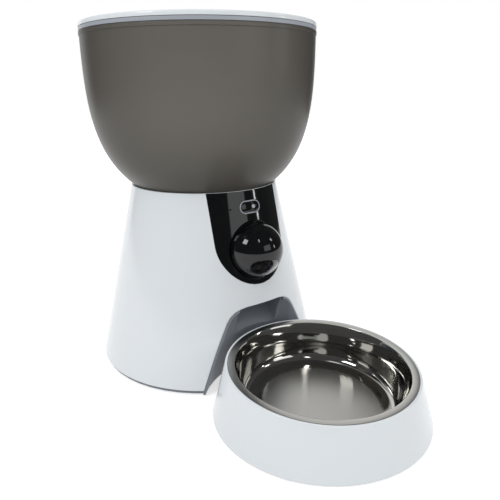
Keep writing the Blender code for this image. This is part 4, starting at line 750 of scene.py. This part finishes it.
inner_top = cone_radius(DECK_TOP - DECK_THICKNESS, SHELL_WALL)
rim_inner = SHELL_TOP_RADIUS - TOP_RIM_WALL
section = [(SHELL_FOOT_RADIUS - SHELL_WALL / 2, SHELL_FOOT_Z)]
section += [(SHELL_FOOT_RADIUS, SHELL_FOOT_Z, SHELL_FOOT_ROUND)]
section += [(SHELL_TOP_RADIUS, TOWER_HEIGHT, TOP_RIM_OUTER_ROUND)]
section += [(rim_inner, TOWER_HEIGHT, TOP_RIM_INNER_ROUND), (rim_inner, DECK_TOP)]
section += [(WELL_MOUTH_RADIUS, DECK_TOP)]
section += [(WELL_MOUTH_RADIUS, DECK_TOP - DECK_THICKNESS), (inner_top, DECK_TOP - DECK_THICKNESS)]
section += [(SHELL_FOOT_RADIUS - SHELL_WALL, SHELL_FOOT_Z), section[0]]
shell = turned("white_shell", section, TOWER_Y)
cut(shell, doorway_space(LINER_WALL + GAP))
pocket_low = PANEL_LOW - PANEL_HALF_WIDTH
pocket = cone_layer("pocket", -OVERRUN, PANEL_THICKNESS + GAP, pocket_low, TOWER_HEIGHT + OVERRUN)
cut(shell, trim(pocket, panel_outline(GAP)))
cut_front_holes(shell, 0)
inlet = drum("inlet hole", INLET_HOLE_RADIUS, 0, SHELL_FOOT_RADIUS)
cut(shell, settle(inlet, Matrix.Translation((0, TOWER_Y, INLET_Z)) @ Matrix.Rotation(-pi / 2, 4, "X")))
soften_edges(shell)
shade_like(shell, cone_guide(), on_the_cone)
dress(shell, gloss_white, "white_plastic", "tower", "tower_shell")

# %% [markdown]
# ## Black front panel, button and status light
#
# The panel is a thin black sheet that follows the cone and ends in a round U. A grey ring frames the pill
# of the feed button, and a small light shows in the button. All of them are trimmed to the same cone, so
# that they lie flush with the case as the real ones do.

# %% Panel, button and light
panel = cone_layer("black_panel", 0, PANEL_THICKNESS, pocket_low, TOWER_HEIGHT - GAP)
trim(panel, panel_outline(0))
cut_front_holes(panel, BUTTON_RING_WIDTH + GAP)
soften_edges(panel, PANEL_SOFT_EDGE)
shade_like(panel, cone_guide(), on_the_cone)
dress(panel, gloss_black, "black_gloss", "tower", "front_panel")


def front_pill(name, grow, low, high):
    """A pill in the middle of the panel, its top trimmed to the cone."""
    length = BUTTON_LENGTH + 2 * grow
    height = BUTTON_HEIGHT + 2 * grow
    piece = raised(name, length, height, height / 2, low, high)
    return settle(piece, on_cone(BUTTON_Z))


ring = front_pill("button_frame", 0, -PANEL_THICKNESS, RUNNING_GAP)
cut(ring, front_pill("ring hole", -BUTTON_RING_WIDTH, -2 * BUTTON_DEPTH, OVERRUN))
trim(ring, cone_space(-BUTTON_RING_PROUD, 0, TOWER_HEIGHT))
soften_edges(ring, BUTTON_RING_SOFT_EDGE)
dress(ring, pale_grey, "pale_grey_plastic", "tower", "button_ring")

cap = front_pill("button_cap", -BUTTON_RING_WIDTH - GAP, -BUTTON_DEPTH, RUNNING_GAP)
trim(cap, cone_space(0, 0, TOWER_HEIGHT))
spot = drum("spot", LIGHT_RADIUS + LIGHT_GAP, -LIGHT_DEPTH, OVERRUN)
cut(cap, settle(spot, on_cone(BUTTON_Z, LIGHT_SIDE)))
soften_edges(cap)
dress(cap, gloss_black, "black_plastic", "button", "feed_button")

light = settle(drum("button_light", LIGHT_RADIUS, -LIGHT_DEPTH, RUNNING_GAP), on_cone(BUTTON_Z, LIGHT_SIDE))
trim(light, cone_space(-LIGHT_PROUD, 0, TOWER_HEIGHT))
dress(light, light_guide, "light_guide", "button", "status_light")

# %% [markdown]
# ## Camera ball
#
# The ball is a thin polished shell. A round opening in it holds the dark lens window, and a slot behind
# lets the fixed arm reach the pin that the ball tilts on. It is modelled upright at the origin, where its
# holes are easy to place, and then turned to look down at the bowl.

# %% Camera ball and window
pivot = Matrix.Translation((0, TOWER_Y - CAMERA_REACH, CAMERA_Z))
looks = pivot @ Matrix.Rotation(pi / 2 + radians(CAMERA_LOOKS_DOWN), 4, "X")
bpy.ops.object.select_all(action="DESELECT")
bpy.ops.mesh.primitive_uv_sphere_add(segments=160, ring_count=80, radius=BALL_RADIUS)
ball = name_piece("camera_ball_shell")
wall = ball.modifiers.new("wall", "SOLIDIFY")
wall.thickness = BALL_WALL
wall.offset = -1
bpy.ops.object.modifier_apply(modifier=wall.name)
cut(ball, drum("window hole", WINDOW_RADIUS + GAP, 0, 2 * BALL_RADIUS, 96))
settle(ball, looks)
slot_size = (ARM_SLOT_WIDTH, 2 * ARM_SLOT_HALF_LENGTH, ARM_SLOT_CORNER)
slot = raised("arm slot", *slot_size, -BALL_RADIUS - OVERRUN, -BALL_RADIUS / 2)
cut(ball, settle(slot, pivot @ Matrix.Rotation(pi / 2 - FRONT_TILT + radians(ARM_SLOT_ANGLE), 4, "X")))
dress(ball, gloss_black, "black_gloss", "camera", "camera_ball")

edge_angle = atan(WINDOW_RADIUS / sqrt(BALL_RADIUS**2 - WINDOW_RADIUS**2))
dome = [(BALL_RADIUS * sin(edge_angle * s / 8), BALL_RADIUS * cos(edge_angle * s / 8)) for s in range(9)]
dome[0] = (0, BALL_RADIUS)
crown = BALL_RADIUS - WINDOW_THICKNESS
window = turned("lens_dome", dome + [(WINDOW_RADIUS, dome[-1][1] - WINDOW_EDGE), (0, crown)], 0, 96)
settle(window, looks)
dress(window, lens_glass, "lens_glass", "camera", "lens_window")

# %% [markdown]
# ## Chute and doorway
#
# The chute is a grey channel: rounded sections bridged into a tube, given a wall, and cut off where it
# comes out in the doorway. The doorway has a grey liner of its own, and the chute's outside cuts its hole,
# so that the two always fit.


# %% Chute and doorway liner
def chute_line(start, shares):
    """Reach and height of the front or back side, from the rotor's outlet out to the doorway."""
    way = SHELL_FOOT_RADIUS - start
    return [(start, CHUTE_TOP)] + [(start + out * way, up * CAMERA_Z) for out, up in shares]


def chute_tube(name):
    bpy.ops.object.select_all(action="DESELECT")
    sections = []
    for (front, front_z), (back, back_z) in zip(
        chute_line(OUTLET_FRONT, CHUTE_FRONT_SHARES), chute_line(OUTLET_BACK, CHUTE_BACK_SHARES)
    ):
        run, rise = front - back, front_z - back_z
        plate = rounded_plate("section", 2 * CHUTE_HALF_WIDTH, sqrt(run**2 + rise**2), CHUTE_CORNER, 6)
        middle = Matrix.Translation((0, TOWER_Y - (front + back) / 2, (front_z + back_z) / 2))
        turn = atan(rise / run)
        sections.append(settle(plate, middle @ Matrix.Rotation(-turn, 4, "X")))
    bpy.ops.object.select_all(action="DESELECT")
    for plate in sections:
        plate.select_set(True)
    bpy.ops.object.join()
    tube = name_piece(name)
    open_edit(tube)
    bpy.ops.mesh.delete(type="ONLY_FACE")
    bpy.ops.mesh.select_all(action="SELECT")
    bpy.ops.mesh.bridge_edge_loops()
    bpy.ops.mesh.select_all(action="SELECT")
    bpy.ops.mesh.normals_make_consistent(inside=False)
    close_edit()
    return tube


chute = chute_tube("food_chute")
outside = chute_tube("chute outside")
open_edit(outside)
bpy.ops.mesh.fill_holes(sides=0)
bpy.ops.mesh.select_all(action="SELECT")
bpy.ops.mesh.normals_make_consistent(inside=False)
bpy.ops.transform.shrink_fatten(value=CHUTE_WALL + GAP)
close_edit()
wall = chute.modifiers.new("wall", "SOLIDIFY")
wall.thickness = CHUTE_WALL
wall.offset = 1
only(chute)
bpy.ops.object.modifier_apply(modifier=wall.name)
trim(chute, cone_space(SHELL_WALL + GAP, 0, TOWER_HEIGHT))
cut(chute, doorway_space(0))
soften_edges(chute)
dress(chute, satin_grey, "grey_plastic", "tower", "chute")

outer, inner = doorway_side(LINER_WALL), doorway_side(0)
for side in (outer, inner):
    side[0] = (side[0][0] - DOORWAY_TAPER_SHARE * (OVERRUN + LINER_LOW), LINER_LOW)
liner = turned("doorway_lining", [(0, outer[1][1])] + outer[::-1] + inner + [(0, inner[1][1])], DOOR_Y)
trim(liner, cone_space(0, 0, DOORWAY_HEIGHT + 2 * LINER_WALL))
cut(liner, outside)
soften_edges(liner)
dress(liner, satin_grey, "grey_plastic", "tower", "doorway_liner")

# %% [markdown]
# ## Smoked hopper
#
# The hopper is one thin moulding. Its side swells out of the narrow foot in one long curve and ends in a
# straight lip. Two small ledges inside it hold the tabs of the lid. The wall is one curve and its copy moved
# inwards, which keeps it equally thick everywhere, as a moulding needs.


# %% Hopper
def curve(start, start_handle, end_handle, end, steps):
    """Points of a cubic curve between two ends."""
    points = []
    for step in range(steps + 1):
        t = step / steps
        shares = ((1 - t) ** 3, 3 * t * (1 - t) ** 2, 3 * t * t * (1 - t), t**3)
        knots = (start, start_handle, end_handle, end)
        points.append(tuple(sum(s * knot[axis] for s, knot in zip(shares, knots)) for axis in (0, 1)))
    return points


def shifted(path, distance):
    """The path moved sideways, to the left of the way it runs."""
    moved = []
    for index, (x, y) in enumerate(path):
        before, after = path[max(index - 1, 0)], path[min(index + 1, len(path) - 1)]
        run, rise = after[0] - before[0], after[1] - before[1]
        length = sqrt(run * run + rise * rise)
        moved.append((x - distance * rise / length, y + distance * run / length))
    return moved


def partial_ring(name, section, angle, half_angle):
    """A short piece of a ring, centred on an angle from the right-hand side."""
    return turned(name, section + section[:1], TOWER_Y, 12, angle - half_angle, 2 * half_angle)


foot = SHELL_TOP_RADIUS - TOP_RIM_WALL - GAP
side_top = (HOPPER_RADIUS - HOPPER_LIP_STEP, HOPPER_TOP_Z - HOPPER_LIP_HEIGHT)
height = side_top[1] - TOWER_HEIGHT
shoulder = (side_top[0], side_top[1] - HOPPER_SHOULDER_SHARE * height)
reach = HOPPER_WAIST_SHARE * height
lean = radians(HOPPER_FOOT_ANGLE)
waist = (foot + reach * cos(lean), TOWER_HEIGHT + reach * sin(lean))
outer = curve(side_top, shoulder, waist, (foot, TOWER_HEIGHT), 32)
inner = shifted(outer, -HOPPER_WALL)[::-1]
foot_low = DECK_TOP + GAP
foot_inner = foot - HOPPER_FOOT_WALL
neck_inner = NECK_RADIUS - NECK_WALL
floor_top = foot_low + HOPPER_FLOOR
slope = (inner[0][1] - floor_top) / (inner[0][0] - neck_inner)
section = [(HOPPER_RADIUS, HOPPER_TOP_Z - HOPPER_LIP_HEIGHT / 2)]
section += [(HOPPER_RADIUS, side_top[1], HOPPER_STEP_ROUND)]
section += outer + [(foot, foot_low), (foot_inner, foot_low)]
section += [(foot_inner, foot_low + slope * (foot_inner - NECK_RADIUS)), (NECK_RADIUS, foot_low)]
section += [(NECK_RADIUS, NECK_LOW), (neck_inner, NECK_LOW), (neck_inner, floor_top)]
section += inner + [(inner[-1][0], HOPPER_TOP_Z, HOPPER_LIP_ROUND)]
section += [(HOPPER_RADIUS, HOPPER_TOP_Z, HOPPER_LIP_ROUND), section[0]]
hopper = turned("smoked_hopper", section, TOWER_Y)
wall_inner = side_top[0] - HOPPER_WALL
tip, root, under = wall_inner - LEDGE_REACH, wall_inner + HOPPER_WALL / 2, LEDGE_TOP - LEDGE_HEIGHT
for angle in (180, 0):
    corners = [(tip, under), (root, under), (root, LEDGE_TOP), (tip, LEDGE_TOP)]
    join(hopper, partial_ring("ledge", corners, angle, LEDGE_HALF_ANGLE))
dress(hopper, smoke, "smoke_plastic", "hopper_unit", "hopper")

# %% [markdown]
# ## Lid
#
# A white plate with a soft edge and a slightly domed top lies on a pale grey band. The band's skirt goes
# down into the hopper, and its two tabs turn over the hopper's ledges.

# %% Lid
plate_top = LID_LOW + LID_THICKNESS
edge = HOPPER_RADIUS - LID_EDGE_ROUND
spigot = SKIRT_RADIUS - SKIRT_WALL - GAP
section = [(edge * s / 6, plate_top + LID_CROWN * (1 - (s / 6) ** 2)) for s in range(7)]
section += [(HOPPER_RADIUS, plate_top, LID_EDGE_ROUND), (HOPPER_RADIUS, LID_LOW, LID_LOWER_ROUND)]
section += [(spigot, LID_LOW), (spigot, BAND_LOW), (spigot - SPIGOT_WALL, BAND_LOW)]
section += [(spigot - SPIGOT_WALL, plate_top - LID_SHEET), (0, plate_top - LID_SHEET)]
plate = turned("white_lid", section, TOWER_Y)
dress(plate, gloss_white, "white_plastic", "lid", "lid_plate")

band_top = BAND_LOW + BAND_HEIGHT
skirt_inner = SKIRT_RADIUS - SKIRT_WALL
skirt_low = BAND_LOW - SKIRT_DEPTH
groove_top, groove = BAND_LOW - SEAL_GROOVE_DROP, SKIRT_RADIUS - SEAL_GROOVE_DEPTH
groove_low = groove_top - SEAL_GROOVE_HEIGHT
section = [(BAND_RADIUS, (BAND_LOW + band_top) / 2)]
section += [(BAND_RADIUS, band_top, BAND_ROUND), (skirt_inner, band_top)]
section += [(skirt_inner, skirt_low), (SKIRT_RADIUS, skirt_low), (SKIRT_RADIUS, groove_low)]
section += [(groove, groove_low), (groove, groove_top), (SKIRT_RADIUS, groove_top)]
section += [(SKIRT_RADIUS, BAND_LOW), (BAND_RADIUS, BAND_LOW, BAND_ROUND), section[0]]
band = turned("grey_lid_band", section, TOWER_Y)
low, high = LEDGE_TOP + GAP, skirt_low + (groove_low - skirt_low) / 2
middle = SKIRT_RADIUS - SKIRT_WALL / 2
for angle in (180, 0):
    corners = [(middle, low), (SKIRT_RADIUS + GAP, low), (SKIRT_RADIUS + GAP, high), (middle, high)]
    join(band, partial_ring("tab", corners, angle - TAB_SHIFT_ANGLE, TAB_HALF_ANGLE))
dress(band, pale_grey, "pale_grey_plastic", "lid", "lid_band")

# %% [markdown]
# ## Bowl stand and bowl
#
# The stand is a white cone of its own. Its rim is tilted a little in edit mode, so that the bowl leans
# towards the animal. The bowl is one sheet of steel, drawn in a press on the real one, so both its sides
# come from one curve.

# %% Stand and bowl
lip = STAND_RIM_RADIUS - STAND_LIP_WIDTH
seat = lip - STAND_SEAT_WIDTH
under = SEAT_Z - STAND_WALL
flange_top = STAND_LOW + STAND_FLANGE_THICKNESS
flange_inner = STAND_FOOT_RADIUS - STAND_FLANGE_WIDTH
section = [(STAND_FOOT_RADIUS - STAND_FOOT_WIDTH, STAND_LOW)]
section += [(STAND_FOOT_RADIUS, STAND_LOW, STAND_FOOT_ROUND)]
section += [(STAND_RIM_RADIUS, STAND_HEIGHT, STAND_RIM_ROUND), (lip, STAND_HEIGHT, STAND_LIP_ROUND)]
section += [(lip, SEAT_Z), (seat, SEAT_Z), (seat, under)]
section += [(STAND_RIM_RADIUS - STAND_WALL, under - STAND_WALL)]
section += [(STAND_FOOT_RADIUS - STAND_WALL, flange_top), (flange_inner, flange_top)]
section += [(flange_inner, STAND_LOW), section[0]]
stand = turned("white_stand", section, BOWL_Y)
open_edit(stand)
choose(stand, "VERT", lambda middle: middle.z > under - 2 * STAND_WALL)
turn = radians(BOWL_TILT)
bpy.ops.transform.rotate(value=-turn, orient_axis="X", center_override=(0, BOWL_Y, SEAT_Z))
close_edit()
dress(stand, gloss_white, "white_plastic", "stand", "bowl_stand")

wall_top = BOWL_RADIUS - BOWL_FLANGE_WIDTH
bend_top = (wall_top - BOWL_WALL_LEAN, -BOWL_DEPTH / 2)
handle = (bend_top[0] - BOWL_WALL_LEAN, -BOWL_DEPTH)
inside = [(BOWL_RADIUS, BOWL_SHEET), (wall_top + BOWL_GROOVE_OUT, BOWL_SHEET), (wall_top, BOWL_SHEET / 2)]
inside += [(wall_top - BOWL_GROOVE_IN, -BOWL_GROOVE_IN)]
inside += curve(bend_top, handle, handle, (BOWL_FLOOR_RADIUS, -BOWL_DEPTH), 24) + [(0, -BOWL_DEPTH)]
outside = shifted(inside, BOWL_SHEET)
outside[0] = (BOWL_RADIUS, 0)
outside[-1] = (0, -BOWL_DEPTH - BOWL_SHEET)
bowl = turned("polished_bowl", inside[::-1] + outside, 0)
settle(bowl, Matrix.Translation((0, BOWL_Y, SEAT_Z + GAP)) @ Matrix.Rotation(turn, 4, "X"))
dress(bowl, bowl_steel, "bowl_steel", "bowl", "steel_bowl")

# %% [markdown]
# ## Table, lights and camera
#
# The feeder stands on white paper in front of a white world. Soft lamps light it, and they also are what
# the glossy black and the steel reflect. A dark cloth round the front and sides, seen in reflections only,
# keeps the black panel and the ball black, as a photographer's black card would. It is open at the back,
# so that the white behind the feeder still shows at the edges of the shiny pieces.


# %% Stage
TABLE_SIZE = 8
PAPER_GLOW = 0.60
WORLD_LIGHT = 0.72
AIM = Vector((0, 0, 0.15))
LAMP_DISTANCE = 1.45
CLOTH_DISTANCE = 1.8
CLOTH_START, CLOTH_SWEEP = -165, 283


def make_paper():
    """Plain pale paper. Seen directly, in a mirror or through glass it glows a little, up to white."""
    finish = Finish("studio paper", {"Roughness": 0.9, "Emission Strength": 1.0})
    finish.feed("Emission Color", finish.blend(finish.seen(), (0, 0, 0), (PAPER_GLOW,) * 3))
    finish.feed("Base Color", finish.blend(finish.noise(3.0), (0.70, 0.70, 0.70), (0.72, 0.72, 0.72)))
    return finish.material


def round_about(azimuth, elevation, distance):
    """A place round the feeder: azimuth 0 is in front of it and 90 on its right."""
    turn, rise = radians(azimuth), radians(elevation)
    way = Vector((sin(turn) * cos(rise), -cos(turn) * cos(rise), sin(rise)))
    return AIM + way * distance


def soft_lamp(name, azimuth, elevation, size, level):
    """A softbox that faces the feeder. Its level is how bright it looks: 1 is white."""
    place = round_about(azimuth, elevation, LAMP_DISTANCE)
    bpy.ops.object.light_add(type="AREA", location=place)
    lamp = bpy.context.object
    lamp.name = name
    lamp.data.shape = "RECTANGLE"
    lamp.data.size, lamp.data.size_y = size
    lamp.data.energy = level * pi * size[0] * size[1]
    lamp.rotation_euler = (AIM - place).to_track_quat("-Z", "Y").to_euler()


bpy.ops.object.select_all(action="DESELECT")
bpy.ops.mesh.primitive_plane_add(size=TABLE_SIZE)
table = name_piece("table")
table.data.materials.append(make_paper())

soft_lamp("window softbox", -88, 39, (0.44, 0.44), 9.0)
soft_lamp("wide softbox", 15, 14, (0.72, 0.50), 1.4)
soft_lamp("strip lamp", 48.6, 8.6, (0.06, 0.20), 14.0)
soft_lamp("small lamp over the front", -14, 48, (0.10, 0.30), 8.0)
soft_lamp("small lamp on the right", 50, 31, (0.16, 0.20), 8.0)

rise = [radians(step * 10) for step in range(10)]
side = [(CLOTH_DISTANCE * cos(angle), CLOTH_DISTANCE * sin(angle)) for angle in rise]
dark = turned("dark cloth", side, 0, 72, CLOTH_START - 90, CLOTH_SWEEP)
cloth = Finish("dark cloth", {"Roughness": 1.0})
cloth.feed("Base Color", cloth.blend(cloth.noise(4.0), (0.09, 0.09, 0.09), (0.12, 0.12, 0.12)))
dark.data.materials.append(cloth.material)
dark.visible_camera = False
dark.visible_diffuse = False
dark.visible_shadow = False

world = bpy.data.worlds.new("studio")
bpy.context.scene.world = world
sky = Nodes(world)
levels = {"Value": sky.seen(), "To Min": WORLD_LIGHT, "To Max": 1.0}
background = sky.tree.nodes["Background"]
background.inputs["Color"].default_value = (1, 1, 1, 1)
sky.tree.links.new(sky.node("ShaderNodeMapRange", inputs=levels).socket, background.inputs["Strength"])

AZIMUTH = radians(-33)
PITCH, YAW, ROLL = radians(17.18), radians(-4.921), radians(-0.482)
CAMERA_BACK, CAMERA_HEIGHT, FOCAL_LENGTH = 0.50556, 0.25487, 37.84
round_axis = Matrix.Rotation(AZIMUTH, 3, "Z")
eye = round_axis @ Vector((0, -CAMERA_BACK, CAMERA_HEIGHT)) + Vector((0, TOWER_Y, 0))
forward = round_axis @ Vector((-sin(YAW) * cos(PITCH), cos(YAW) * cos(PITCH), -sin(PITCH)))
right = round_axis @ Vector((cos(YAW), sin(YAW), 0))
up = right.cross(forward)
right = cos(ROLL) * right + sin(ROLL) * up
up = right.cross(forward)
turn = Matrix((right, up, -forward)).transposed()
bpy.ops.object.camera_add(location=eye, rotation=turn.to_euler())
camera = bpy.context.object
camera.data.lens = FOCAL_LENGTH
bpy.context.scene.camera = camera
bpy.context.scene.view_settings.view_transform = "Standard"
print("lamps:", len(bpy.data.lights), "camera at", [round(part, 3) for part in eye])
